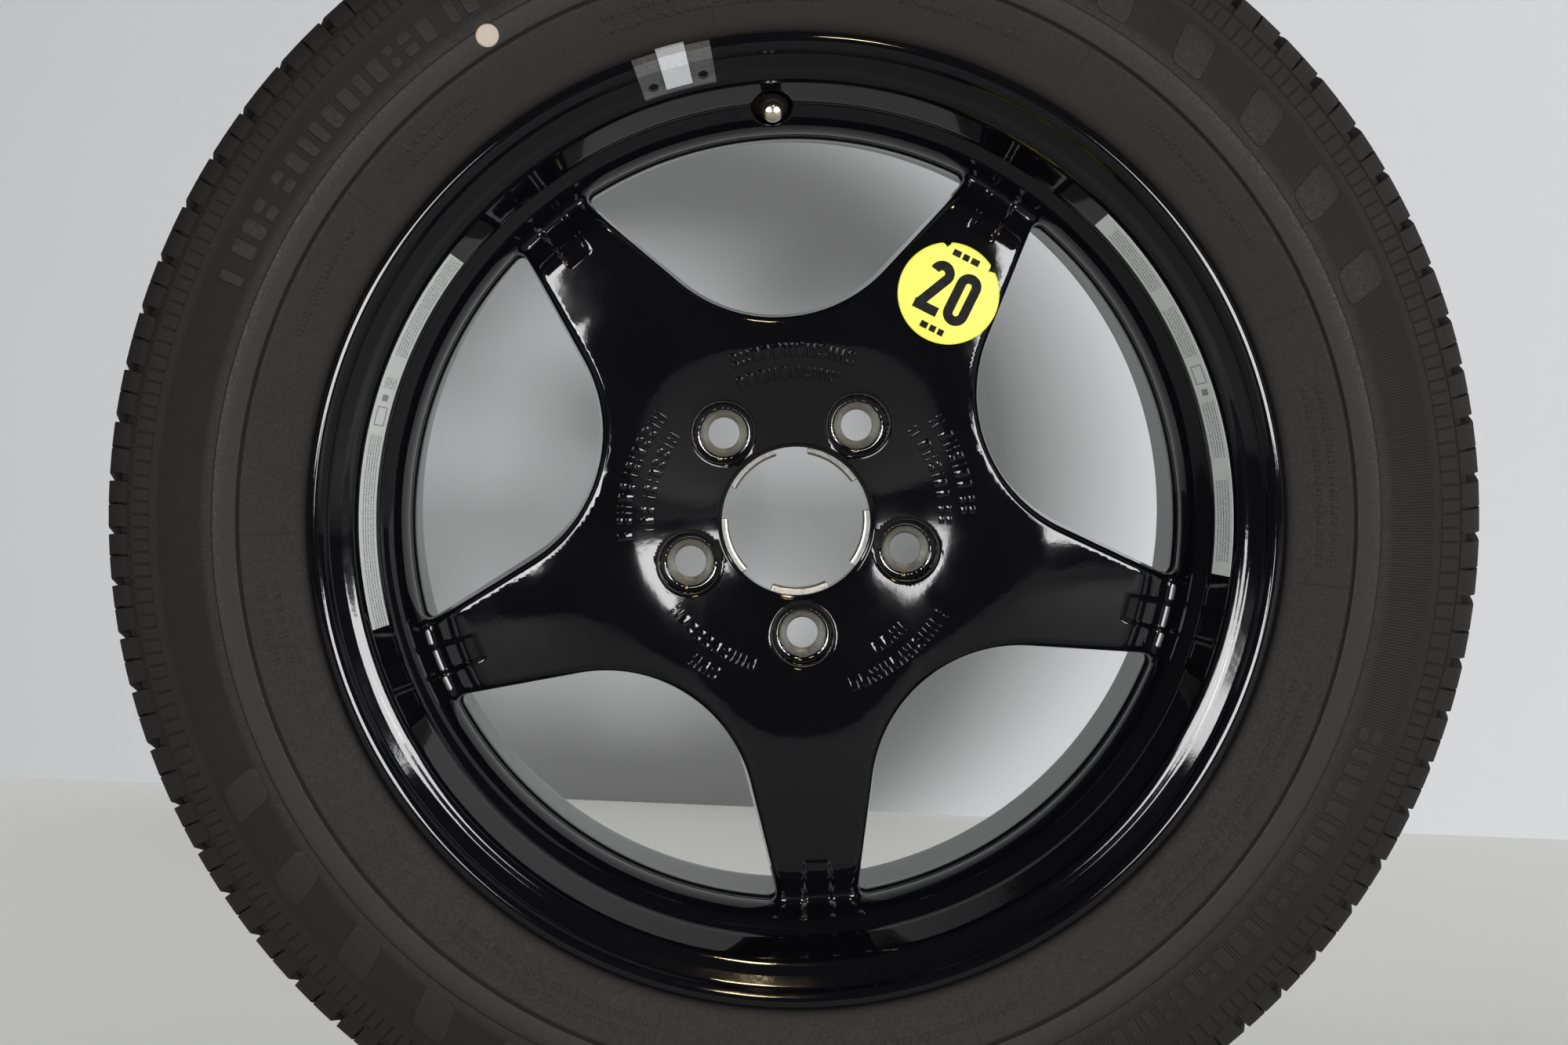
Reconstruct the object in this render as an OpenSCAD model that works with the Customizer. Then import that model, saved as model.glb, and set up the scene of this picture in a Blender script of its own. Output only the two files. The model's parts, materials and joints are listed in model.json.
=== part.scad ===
// Spare road wheel: a cast five-spoke wheel with its tyre, valve, balance weight, sticker and label strips.
// The wheel stands upright. Its axle runs along Y, the outboard side faces -Y, and the valve is at the top.
// The origin is on the axle, midway between the two rim flanges.
// Inside the modules the axle is Z, outboard is +Z and the valve is at +Y; upright() turns that into place.

/* [Rim] */
// Diameter of the bead seat where it meets the flange
rim_d = 436.6; // [425:0.1:530]
// Width of the rim between the two flange faces
rim_w = 190.5; // [165:0.5:230]
// Height of the flange above the bead seat
flange_h = 17.3; // [14:0.1:20]
// Reach of the flange past its face
flange_t = 12.5; // [10:0.1:15]
// Depth of the well below the bead seat
well_depth = 18.3; // [16:0.1:22]
// Wall of the barrel
barrel_wall = 6.6; // [4:0.1:9]

/* [Disc] */
// Distance of the hub face outboard of the rim's centre plane
hub_offset = 51; // [40:0.5:60]
// Diameter of the centring pads in the centre hole
bore_d = 66.6; // [54:0.1:74]
// Depth of the relief between the centring pads
bore_relief = 3.3; // [2:0.1:5]
// Angle that each centring pad covers
pad_angle = 45; // [20:1:55]
// Diameter of the mounting pad on the inboard side
hub_pad_d = 150; // [140:1:156]
// Number of spokes, and of wheel bolts
spokes = 5; // [4:1:6]
// Diameter of the bolt circle
bolt_circle_d = 112; // [108:1:114.3]
// Diameter of a bolt hole
bolt_hole_d = 15.5; // [13:0.1:16]
// Radius of the ball seat under a bolt head
ball_seat_r = 14; // [12:0.5:14]
// Diameter of the ball seat at its mouth
seat_d = 24.6; // [22:0.1:26]
// Height of the seat's mouth above the hub face
seat_h = 12; // [9:0.1:14]
// Diameter of the painted recess round a seat, at its floor
recess_d = 27; // [26:0.5:30]

/* [Windows] */
// Distance from the axle to a window's inner end
window_in_r = 102.5; // [98:0.5:110]
// Distance from the rim's lip to a window's outer end, measured inwards from the well's inner wall
lip_h = 4.4; // [3:0.1:6]
// Radius of a window's inner end
window_nose_r = 71.4; // [50:0.1:80]
// Angle between a window's middle line and its straight sides
window_side_angle = 47.1; // [44:0.1:50]
// Radius of a window's outer corners
window_corner_r = 5.5; // [3:0.1:9]
// Bevel on the outboard edges of the spokes
spoke_bevel = 2.6; // [1:0.1:4]

/* [Tyre] */
// Outer diameter of the tyre
tyre_d = 679.3; // [640:0.1:720]
// Widest section of the tyre
tyre_w = 233; // [215:0.5:260]
// Width of the tread
tread_w = 190; // [170:1:200]
// Depth of the tread grooves
tread_depth = 7.5; // [3:0.1:9]
// Number of tread blocks round each shoulder
tread_pitches = 72; // [60:1:84]

/* [Valve] */
// Diameter of the valve hole in the rim
valve_hole_d = 11.5; // [11.3:0.1:12]
// Lean of the valve towards the axle
valve_lean = 16; // [10:1:20]
// Thickness of the rim at the valve
valve_wall = 4.5; // [3.5:0.1:5.5]
// Thread diameter of the valve stem
valve_thread_d = 7.7; // [7.6:0.05:7.8]
// Wall of the cap round the thread
cap_wall = 0.85; // [0.7:0.05:1.5]
// Travel of the core pin
pin_travel = 1.2; // [0.8:0.1:1.5]

/* [Trim] */
// Diameter of the round sticker
sticker_d = 50; // [40:1:52]
// Distance from the axle to the sticker's centre
sticker_at_r = 134.3; // [125:0.5:140]
// Angle of the sticker, anticlockwise from the right
sticker_angle = 53; // [48:1:58]
// Thickness of the sticker and the label strips
film_t = 0.2; // [0.15:0.05:0.4]
// Angle covered by each label strip
label_angle = 52; // [40:1:56]
// Angle covered by the balance weight
weight_angle = 9.4; // [6:0.1:14]
// Thickness of the balance weight
weight_t = 4; // [3:0.1:6]
// Angle covered by the weight's clip
clip_angle = 3.4; // [3:0.1:5]
// Thickness of the clip's steel
clip_t = 1.1; // [0.8:0.1:1.3]

/* [Hidden] */
$fn = 96;

// Rim
seat_r = rim_d / 2;
flange_r = seat_r + flange_h;
face_z = rim_w / 2;
end_z = face_z + flange_t;
well_r = seat_r - well_depth;
well_in_r = well_r - barrel_wall;
lip_r = well_in_r - lip_h;
lip_z = hub_offset;
heel_r = 6.5;
seat_slope = tan(5);
// Points of the tyre side of one rim half, from the flange's crest to the inner foot of the hump
half_rim_out = concat(
    [[flange_r, end_z - 3.9], [flange_r - 0.4, end_z - 6.1], [flange_r - 1.7, end_z - 8.9],
     [flange_r - 3.9, face_z + 1.3], [flange_r - 6.6, face_z + 0.15]],
    arc([seat_r + heel_r, face_z - heel_r], heel_r, 90, 180, 5),
    [[seat_r - 12 * seat_slope, face_z - heel_r - 11], [seat_r - 0.5, face_z - 19],
     [seat_r - 0.3, face_z - 21], [seat_r - 0.5, face_z - 23], [seat_r - 1.5, face_z - 25]]);
// Outboard wall of the well, steep so that the valve can pass through it, and clear of the hump
drop_z = min(hub_offset + 13.2, face_z - 31);
well_side = [[seat_r - 2.8, drop_z], [seat_r - 3.6, drop_z - 2.3],
             [well_r + 2, drop_z - 6.8], [well_r + 0.4, drop_z - 8.5], [well_r, drop_z - 11.2]];
// The well's floor, the leg inboard of it and the slope up to the inboard bead seat
well_floor = [[well_r, 14], [well_r + 3.5, 4], [well_r + 3.5, -(face_z - 37)],
              [seat_r - 1.9, -(face_z - 26)]];
// Painted outboard side of the rim, from the lip round the windows out to the flange's crest
lip_round = 1.9;
dish = arc([lip_r + 27, lip_z + 0.8], 25.1, 180, 123, 7);
ridge = [lip_r + 15.4, lip_z + 23.6];
land_in = [lip_r + 16.4, lip_z + 27];
land_out = [seat_r - 6.1, face_z - 1.8];
shelf = [seat_r - 2.1, face_z + 2.4];
flange_foot = [seat_r + 6.9, face_z + 7];
flange_nose = concat(
    [[flange_r - 9.4, end_z - 4.1], [flange_r - 8.9, end_z - 2.4]],
    arc([flange_r - 4.3, end_z - 4.3], 4.3, 118, 20, 5));
rim_front = concat(
    [[lip_r, lip_z - lip_round - 8]],
    arc([lip_r + lip_round, lip_z - lip_round], lip_round, 180, 100, 3),
    dish,
    [ridge, land_in, land_out, [seat_r - 4.4, face_z + 1], shelf, [seat_r + 0.9, face_z + 3.3], flange_foot],
    flange_nose);
// Inner side of the barrel, from the inboard flange back to the lip
barrel_in = [[flange_r - 7.6, -(end_z - 1.6)], [seat_r + 3, -(end_z - 4.4)], [seat_r - 4, -(face_z + 3.6)],
             [seat_r - 6.4, -(face_z - 4)], [seat_r - 6.9, -(face_z - 21)],
             [well_in_r + 5.7, -(face_z - 32.6)], [well_in_r + 3.6, -(face_z - 35.4)],
             [well_in_r + 3.3, -(face_z - 40)], [well_in_r + 0.7, 22], [well_in_r + 0.2, hub_offset - 17]];

// Disc: outboard and inboard faces as points (radius, height)
bore_r = bore_d / 2;
relief_r = bore_r + bore_relief;
bolt_r = bolt_circle_d / 2;
pad_r = hub_pad_d / 2;
dive_r = lip_r - 12.5;
crown_z = hub_offset + 27;
face_near = [[relief_r, hub_offset + 15.4], [relief_r + 1.9, hub_offset + 16.9],
             [relief_r + 8.4, hub_offset + 17.6], [bolt_r + 4, hub_offset + 20.6], [pad_r + 1, crown_z - 2.8],
             [pad_r + 15, crown_z - 0.8], [window_in_r + 2.5, crown_z]];
spoke_run = dive_r - window_in_r;
face_far = [[window_in_r + 0.24 * spoke_run, crown_z - 0.1], [window_in_r + 0.51 * spoke_run, crown_z - 1.3],
            [window_in_r + 0.75 * spoke_run, crown_z - 3.5], [dive_r - 5.5, crown_z - 5.4], [dive_r - 1, crown_z - 7.2],
            [dive_r + 3, crown_z - 10.6], [dive_r + 7.5, crown_z - 15.2], [dive_r + 12, crown_z - 18.8],
            [dive_r + 16.5, crown_z - 19.4], [dive_r + 20, crown_z - 17.4], [dive_r + 23.2, crown_z - 13]];
disc_face = concat(face_near, face_far);
disc_back = [[well_in_r + 1.5, hub_offset - 18], [lip_r, hub_offset - 15], [dive_r, hub_offset - 9.5],
             [window_in_r + 0.608 * spoke_run, hub_offset - 5], [window_in_r + 0.203 * spoke_run, hub_offset - 0.5],
             [pad_r + 18, hub_offset + 2.6], [pad_r + 6, hub_offset + 3], [pad_r + 1.5, hub_offset + 1.5],
             [pad_r, hub_offset]];
pocket_wall = 12;
pocket_side_wall = 7.5;
pocket_from_r = window_in_r + 18;

// Bolt seats
bolt_hole_r = bolt_hole_d / 2;
seat_mouth_r = seat_d / 2;
seat_z = hub_offset + seat_h;
ball_z = seat_z + sqrt(pow(ball_seat_r, 2) - pow(seat_mouth_r, 2));
spoke_step = 360 / spokes;
spoke_angles = [for (i = [0 : spokes - 1]) -90 + i * spoke_step];

// Windows, in a frame whose x axis is the window's middle line
window_out_r = lip_r + 0.6;
nose_x = window_in_r + window_nose_r;
apex_x = nose_x - window_nose_r / sin(window_side_angle);
side_dir = [cos(window_side_angle), sin(window_side_angle)];
side_in = [sin(window_side_angle), -cos(window_side_angle)];

// Groove down the middle of each spoke's outer end
groove_w = 13;
groove_depth = 1.4;
groove_from_r = dive_r - 7;

// Tyre
tread_r = tyre_d / 2;
tyre_half_w = tyre_w / 2;
shoulder_z = tread_w / 2;
section_h = tread_r - seat_r;
bulge_r = seat_r + 0.47 * section_h;
rim_gap = 1.5;
tread_grooves = [[13, 8], [44, 9]];
slot_w = 5.2;
sipe_w = 1.2;
slot_from_z = 57;
// Outer skin of one half, from the middle of the tread to the toe of the bead
tyre_skin = concat(
    [[tread_r, 0], [tread_r - 0.3, 20], [tread_r - 1.1, 42], [tread_r - 2.9, 66], [tread_r - 5.6, 82],
     [tread_r - 9.6, shoulder_z - 4], [tread_r - 13.5, shoulder_z - 1], [tread_r - 18, shoulder_z + 3],
     [tread_r - 0.243 * section_h, shoulder_z + 12], [bulge_r + 0.181 * section_h, tyre_half_w - 3.6],
     [bulge_r + 0.082 * section_h, tyre_half_w - 0.9], [bulge_r, tyre_half_w],
     [bulge_r - 0.068 * section_h, tyre_half_w - 1.4], [bulge_r - 0.074 * section_h, tyre_half_w - 2.2],
     [bulge_r - 0.198 * section_h, tyre_half_w - 6.2], [flange_r + 3.6, end_z - 1.4],
     [flange_r + 1.6, end_z - 4.6], [flange_r + 0.9, end_z - 7.4], [flange_r - 1.1, face_z + 1.6 + rim_gap],
     [flange_r - 4.2, face_z + 0.6], [flange_r - 6.6, face_z]],
    arc([seat_r + heel_r, face_z - heel_r], heel_r, 90, 180, 5),
    [[seat_r - 12 * seat_slope, face_z - heel_r - 11]]);
tyre_lining = [[seat_r + 3.4, face_z - 18], [seat_r + 10, face_z - 14], [flange_r + 3, face_z - 3],
               [flange_r + 0.148 * section_h, tyre_half_w - 12.5], [bulge_r, tyre_half_w - 9],
               [bulge_r + 0.148 * section_h, tyre_half_w - 11], [bulge_r + 0.264 * section_h, shoulder_z + 3],
               [tread_r - 0.198 * section_h, shoulder_z - 7], [tread_r - 19, shoulder_z - 25],
               [tread_r - 17, 40], [tread_r - 16.5, 0]];

// Valve: its own frame has z along the valve, out of the rim, and z = 0 on the rim's tyre side
valve_at_r = seat_r - 11.3;
valve_at_z = drop_z - 5;
valve_hole_r = valve_hole_d / 2;
valve_pocket_r = 10;
head_r = 8.3;
stem_tube_r = 2.9;
thread_r = valve_thread_d / 2;
thread_gap = 0.05;
stem_from = -5.5;
stem_step = valve_wall + 12.5;
stem_top = valve_wall + 26;
neck_top = valve_wall + 16.6;
chamber_r = 2.35;
plug_r = 2.6;
plug_h = 4;
plug_top = stem_top - 1.5;
barrel_r = 1.7;
barrel_h = 11.2;
barrel_bore_r = 1.05;
barrel_top = plug_top - plug_h;
barrel_foot = barrel_top - barrel_h;
pin_r = 0.6;
pin_gap = 0.08;
pin_collar_r = 0.95;
cup_r = 1.75;
cup_h = 1.6;
cup_foot = barrel_foot - cup_h;
pin_foot = cup_foot - 0.9;
chamber_foot = pin_foot - pin_travel - 0.3;
gasket_z = barrel_foot + 6.3;
gasket_h = 2;
spring_wire_d = 0.24;
spring_turns = 6;
spring_foot = barrel_foot + 1.1;
spring_head = barrel_top - 1.9;
cap_r = thread_r + thread_gap + cap_wall;
cap_foot = neck_top + 1;
seal_h = 1;
seal_r = thread_r + thread_gap - 0.05;
cap_roof = stem_top + seal_h;
cap_top = cap_roof + 1.3;
knurls = 24;

// Trim
weight_mid = 101.7;
label_margin = 0.6;
label_left_mid = 164.7;
label_right_mid = 15.5;
weight_hole_r = 2.4;
weight_hole_at = 0.68;
clip_foot_r = shelf[0] + 0.6;
// Outboard surface of the flange that the weight sits on, from the shelf to the crest
weight_base = concat([shelf, [seat_r + 0.9, face_z + 3.3], flange_foot], flange_nose);
weight_skin = [[flange_r - 0.9, end_z + 0.8], [flange_r - 4.6, end_z + weight_t],
               [flange_r - 9.8, end_z + weight_t - 2.2], [seat_r + 1, face_z + 4 + weight_t],
               [seat_r - 2.6, face_z + 1.8 + weight_t], [seat_r - 3, face_z + 3.4]];
// The flange's crest and its back, which the clip grips
flange_back = [flange_nose[len(flange_nose) - 1], half_rim_out[0], half_rim_out[1], half_rim_out[2]];

// Points along an arc from angle a0 to a1
function arc(centre, r, a0, a1, n) =
    [for (i = [0 : n]) let (a = a0 + (a1 - a0) * i / n) centre + r * [cos(a), sin(a)]];
// The same points with the second coordinate's sign changed, in the opposite order
function flipped(points) = [for (i = [len(points) - 1 : -1 : 0]) [points[i][0], -points[i][1]]];
// Height of the disc's outboard face at a radius
function disc_face_z(r) = lookup(r, disc_face);

// Half the width of a spoke, between the straight sides of its two windows, at a distance along the spoke
function spoke_half_w(x) =
    apex_x * sin(spoke_step / 2) + (x - apex_x * cos(spoke_step / 2)) * tan(spoke_step / 2 - window_side_angle);

module upright() {
    rotate([90, 0, 0]) children();
}

module at_valve() {
    translate([0, valve_at_r, valve_at_z]) rotate([valve_lean, 0, 0]) children();
}

module ring_section(points) {
    rotate_extrude($fn = 180) polygon(points);
}

// Cuts a sector out of what is given, centred on an angle
module sector(mid, angle, r, z0, z1) {
    intersection() {
        children();
        rotate([0, 0, mid - angle / 2])
            translate([0, 0, z0])
                rotate_extrude(angle = angle, $fn = 180) square([r, z1 - z0]);
    }
}

module rim_barrel() {
    ring_section(concat(
        rim_front, half_rim_out, well_side, well_floor, flipped(half_rim_out),
        [[flange_r - 1.6, -(end_z - 0.9)], [flange_r - 4.6, -end_z]], barrel_in));
}

module disc_body() {
    ring_section(concat(disc_face, [[lip_r + 14, hub_offset + 10]], [[lip_r + 10, hub_offset - 8]], disc_back,
                        [[relief_r, hub_offset]]));
}

// Outline of one window, grown outwards by d
function window_outline(out_r, d) =
    let (apex = [apex_x - d / sin(window_side_angle), 0],
         corner_r = window_corner_r + d,
         start = apex + side_in * corner_r,
         along = start * side_dir,
         t = -along + sqrt(pow(along, 2) - start * start + pow(out_r + d - corner_r, 2)),
         corner = start + side_dir * t,
         corner_a = atan2(corner[1], corner[0]),
         side_a = 90 + window_side_angle,
         half = concat(
             arc([nose_x, 0], window_nose_r + d, 180, side_a, 10),
             arc(corner, corner_r, side_a, corner_a, 5),
             arc([0, 0], out_r + d, corner_a, 0, 9)))
    concat(half, [for (i = [len(half) - 2 : -1 : 1]) [half[i][0], -half[i][1]]]);

module at_windows() {
    for (a = spoke_angles) rotate([0, 0, a + spoke_step / 2]) children();
}

module window_cut() {
    translate([0, 0, hub_offset - 30]) linear_extrude(70) polygon(window_outline(window_out_r, 0));
    // Above the lip the cut runs on outwards, as far as the rim's own slope
    translate([0, 0, lip_z - 2]) linear_extrude(40) polygon(window_outline(lip_r + 17, 0));
}

module window_bevel() {
    slope = atan((disc_face_z(window_in_r) - disc_face_z(dive_r - 5)) / (dive_r - 5 - window_in_r));
    mid_r = (window_in_r + dive_r) / 2;
    translate([mid_r, 0, disc_face_z(mid_r) - spoke_bevel])
        rotate([0, slope, 0])
            translate([-mid_r, 0, 0])
                hull() {
                    translate([0, 0, -0.6]) linear_extrude(0.1) polygon(window_outline(window_out_r, -0.6));
                    translate([0, 0, spoke_bevel + 2])
                        linear_extrude(0.1) polygon(window_outline(window_out_r, spoke_bevel + 2));
                }
}

module bolt_seat_cut() {
    translate([0, 0, hub_offset - 1]) cylinder(r = bolt_hole_r, h = 30, $fn = 48);
    translate([0, 0, ball_z]) sphere(r = ball_seat_r, $fn = 64);
    translate([0, 0, seat_z]) rotate_extrude($fn = 64)
        polygon([[0, 0], [recess_d / 2, 0], [recess_d / 2 + 1.4, 0.8], [recess_d / 2 + 2.2, 2.4],
                 [recess_d / 2 + 4.2, 15], [0, 15]]);
}

module bore_pads() {
    for (a = spoke_angles)
        rotate([0, 0, a - pad_angle / 2])
            translate([0, 0, hub_offset])
                rotate_extrude(angle = pad_angle, $fn = 120)
                    polygon([[bore_r, 1.6], [bore_r + 1, 0.6], [relief_r + 2, 0.6], [relief_r + 2, 9.5],
                             [bore_r + 0.6, 9.5], [bore_r, 8.9]]);
}

// Hollow in the inboard side of a spoke, walled by the spoke's sides and front
module spoke_pocket() {
    intersection() {
        ring_section(concat([for (p = face_near) if (p[0] > pad_r + 12) p - [0, pocket_wall]],
                            [for (p = face_far) if (p[0] < dive_r - 2) p - [0, pocket_wall]],
                            [[dive_r - 3, hub_offset - 25], [pad_r + 15, hub_offset - 25]]));
        translate([0, 0, hub_offset - 25])
            linear_extrude(60)
                polygon([[pad_r + 12, -20], [pad_r + 12, 20],
                         [pocket_from_r, spoke_half_w(pocket_from_r) - pocket_side_wall],
                         [dive_r, spoke_half_w(dive_r) - pocket_side_wall],
                         [dive_r, pocket_side_wall - spoke_half_w(dive_r)],
                         [pocket_from_r, pocket_side_wall - spoke_half_w(pocket_from_r)]]);
    }
}

// Lightening pocket in the mounting pad, between two bolt holes
module pad_pocket() {
    translate([0, 0, hub_offset - 1])
        linear_extrude(7)
            polygon(concat(arc([bolt_r - 9, 0], 6, 120, 240, 6), arc([bolt_r + 8, -5], 6, 250, 350, 5),
                           arc([bolt_r + 8, 5], 6, 10, 110, 5)));
}

module spoke_groove() {
    intersection() {
        ring_section(concat(
            [[groove_from_r - 6, disc_face_z(groove_from_r - 6) + 0.8]],
            [for (p = disc_face) if (p[0] > groove_from_r) p - [0, groove_depth]],
            [[dive_r + 23.2, crown_z + 10], [groove_from_r - 6, crown_z + 10]]));
        translate([groove_from_r - 10, -groove_w / 2, 0]) cube([60, groove_w, 200]);
    }
}

module valve_cuts() {
    at_valve() {
        translate([0, 0, -1]) cylinder(r = valve_hole_r, h = 20, $fn = 48);
        translate([0, 0, valve_wall]) cylinder(r = valve_pocket_r, h = 30, $fn = 64);
        translate([0, 0, -9]) cylinder(r = head_r + 0.6, h = 9, $fn = 64);
    }
}

// The wheel, cast as one piece
module wheel() {
    color([0.02, 0.02, 0.022]) upright() difference() {
        union() {
            rim_barrel();
            difference() {
                disc_body();
                at_windows() {
                    window_cut();
                    window_bevel();
                }
                for (a = spoke_angles) rotate([0, 0, a]) {
                    spoke_pocket();
                    spoke_groove();
                }
            }
            bore_pads();
        }
        for (a = spoke_angles) rotate([0, 0, a]) translate([bolt_r, 0, 0]) bolt_seat_cut();
        at_windows() pad_pocket();
        valve_cuts();
    }
}

// One side's shoulder slots: a wide slot and a narrow one for each tread block
module shoulder_slots() {
    for (i = [0 : tread_pitches - 1]) rotate([0, 0, i * 360 / tread_pitches]) {
        translate([tread_r - tread_depth, -slot_w / 2, slot_from_z]) cube([30, slot_w, 60]);
        rotate([0, 0, 180 / tread_pitches])
            translate([tread_r - tread_depth + 1, -sipe_w / 2, slot_from_z]) cube([30, sipe_w, 60]);
    }
}

module tyre() {
    color([0.05, 0.048, 0.045]) upright() difference() {
        ring_section(concat(tyre_skin, tyre_lining, flipped(tyre_lining), flipped(tyre_skin)));
        for (g = tread_grooves, side = [1, -1])
            translate([0, 0, side * g[0] - g[1] / 2]) rotate_extrude($fn = 180)
                translate([tread_r - tread_depth - 1, 0]) square([tread_depth + 5, g[1]]);
        shoulder_slots();
        mirror([0, 0, 1]) shoulder_slots();
    }
}

module valve_rubber() {
    color([0.06, 0.045, 0.04]) upright() at_valve() rotate_extrude() polygon([
        [stem_tube_r, stem_from], [stem_tube_r, stem_step], [thread_r, stem_step], [thread_r, neck_top],
        [thread_r + 0.7, neck_top], [thread_r + 1.1, neck_top - 0.8], [5.6, valve_wall + 10],
        [6.9, valve_wall + 4.4], [8.1, valve_wall + 1.4], [7.9, valve_wall + 0.2], [7.2, valve_wall],
        [valve_hole_r, valve_wall], [valve_hole_r, 0], [head_r - 0.7, 0], [head_r, -2], [head_r - 0.3, -4.6],
        [6.5, -6], [stem_tube_r + 0.6, -6]]);
}

module valve_stem() {
    color([0.8, 0.65, 0.35]) upright() at_valve() rotate_extrude() polygon([
        [1.9, stem_from], [stem_tube_r, stem_from], [stem_tube_r, stem_step], [thread_r, stem_step],
        [thread_r, stem_top - 0.5], [thread_r - 0.5, stem_top], [plug_r + 0.3, stem_top],
        [plug_r, stem_top - 0.3], [plug_r, barrel_top - 0.4], [chamber_r, barrel_top - 1],
        [chamber_r, gasket_z], [barrel_r + 0.1, gasket_z - 0.5], [barrel_r + 0.1, gasket_z - 1.5],
        [chamber_r, gasket_z - 2.2], [chamber_r, chamber_foot], [1.9, chamber_foot - 1]]);
}

module core_plug() {
    color([0.78, 0.62, 0.32]) upright() at_valve() difference() {
        translate([0, 0, barrel_top]) cylinder(r = plug_r, h = plug_h);
        translate([0, 0, barrel_top - 1]) cylinder(r = pin_r + pin_gap, h = plug_h + 2);
        for (s = [1, -1])
            translate([s * 2.1 - 0.9, -4, barrel_top + plug_h - 1.6]) cube([1.8, 8, 3]);
    }
}

module core_barrel() {
    color([0.78, 0.62, 0.32]) upright() at_valve() rotate_extrude() polygon([
        [pin_r + 0.15, barrel_foot], [barrel_r - 0.3, barrel_foot], [barrel_r, barrel_foot + 0.5],
        [barrel_r, barrel_top - 0.4], [barrel_r - 0.2, barrel_top], [barrel_bore_r, barrel_top],
        [barrel_bore_r, barrel_foot + 1.1], [pin_r + 0.15, barrel_foot + 1.1]]);
}

module core_gasket() {
    color([0.85, 0.25, 0.2]) upright() at_valve() rotate_extrude() polygon([
        [barrel_r, gasket_z], [barrel_r + 0.2, gasket_z], [chamber_r, gasket_z + 0.5],
        [chamber_r, gasket_z + gasket_h], [barrel_r, gasket_z + gasket_h]]);
}

module core_pin() {
    color([0.78, 0.62, 0.32]) upright() at_valve() rotate_extrude() polygon([
        [0, pin_foot], [pin_r + 0.4, pin_foot], [pin_r + 0.4, cup_foot], [pin_r, cup_foot], [pin_r, spring_head],
        [pin_collar_r, spring_head], [pin_collar_r, spring_head + 0.5], [pin_r, spring_head + 0.5],
        [pin_r, stem_top - 0.5], [pin_r - 0.2, stem_top - 0.3], [0, stem_top - 0.3]]);
}

module core_cup() {
    color([0.1, 0.1, 0.1]) upright() at_valve() rotate_extrude() polygon([
        [pin_r, cup_foot], [cup_r - 0.3, cup_foot], [cup_r, cup_foot + 0.3], [cup_r, barrel_foot],
        [pin_r, barrel_foot]]);
}

// Coil spring, as one wire swept along a helix, with a rigid turn at each end
module core_spring() {
    per_turn = 12;
    sides = 6;
    coil_r = (pin_r + barrel_bore_r) / 2;
    wire_r = spring_wire_d / 2;
    foot = spring_foot + wire_r + 0.02;
    head = spring_head - wire_r - 0.02;
    n = spring_turns * per_turn;
    rings = [for (i = [0 : n]) let (a = i * 360 / per_turn)
        [for (j = [0 : sides - 1]) let (b = j * 360 / sides, r = coil_r + wire_r * cos(b))
            [r * cos(a), r * sin(a), foot + (head - foot) * i / n + wire_r * sin(b)]]];
    points = [for (ring = rings) for (p = ring) p];
    skin = [for (i = [0 : n - 1]) for (j = [0 : sides - 1]) let (k = (j + 1) % sides, a = i * sides, b = a + sides)
        each [[a + j, b + j, b + k], [a + j, b + k, a + k]]];
    ends = [[for (j = [0 : sides - 1]) j], [for (j = [sides - 1 : -1 : 0]) n * sides + j]];
    color([0.7, 0.72, 0.75]) upright() at_valve() polyhedron(points, concat(skin, ends));
}

module valve_cap() {
    color([0.75, 0.72, 0.66]) upright() at_valve() difference() {
        rotate_extrude() polygon([
            [thread_r + thread_gap, cap_foot], [cap_r - 0.4, cap_foot], [cap_r, cap_foot + 0.4],
            [cap_r, cap_top - 2.8], [cap_r - 0.25, cap_top - 1.8], [cap_r - 0.9, cap_top - 0.9],
            [cap_r - 1.9, cap_top - 0.35], [1.4, cap_top], [0, cap_top], [0, cap_roof],
            [thread_r + thread_gap, cap_roof]]);
        for (i = [0 : knurls - 1]) rotate([0, 0, i * 360 / knurls])
            translate([cap_r - 0.25, -0.3, cap_foot - 1]) cube([1, 0.6, 5.6]);
    }
}

module cap_seal() {
    color([0.08, 0.08, 0.08]) upright() at_valve() translate([0, 0, stem_top])
        difference() {
            cylinder(r = seal_r, h = seal_h);
            translate([0, 0, -1]) cylinder(r = 1.5, h = seal_h + 2);
        }
}

module balance_weight() {
    hole_a = weight_angle / 2 * weight_hole_at;
    color([0.55, 0.55, 0.55]) upright() difference() {
        sector(weight_mid, weight_angle, flange_r + 10, face_z - 10, end_z + 20)
            ring_section(concat(weight_base, weight_skin));
        for (s = [1, -1])
            rotate([0, 0, weight_mid + s * hole_a])
                translate([seat_r + 6, 0, face_z]) rotate([0, -30, 0])
                    cylinder(r = weight_hole_r, h = 50, center = true, $fn = 32);
    }
}

// The clip lies on the weight, runs over the flange's crest and hooks in behind it
module weight_clip() {
    outside = [[flange_r - 0.85, end_z - 8.85], [flange_r + 0.6, end_z - 6.4], [flange_r + clip_t, end_z - 3.9],
               [flange_r + 0.9, end_z + 0.4], [flange_r - 0.3, end_z + 0.8 + clip_t],
               [flange_r - 4.3, end_z + weight_t + clip_t], [flange_r - 10.2, end_z + weight_t - 2.3 + clip_t],
               [clip_foot_r, face_z + 5.1 + weight_t]];
    inside = [[clip_foot_r + 0.5, face_z + 3.75 + weight_t], weight_skin[2], weight_skin[1], weight_skin[0]];
    color([0.72, 0.72, 0.72]) upright()
        sector(weight_mid, clip_angle, flange_r + 10, face_z - 10, end_z + 20)
            ring_section(concat(outside, inside, flange_back));
}

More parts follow.
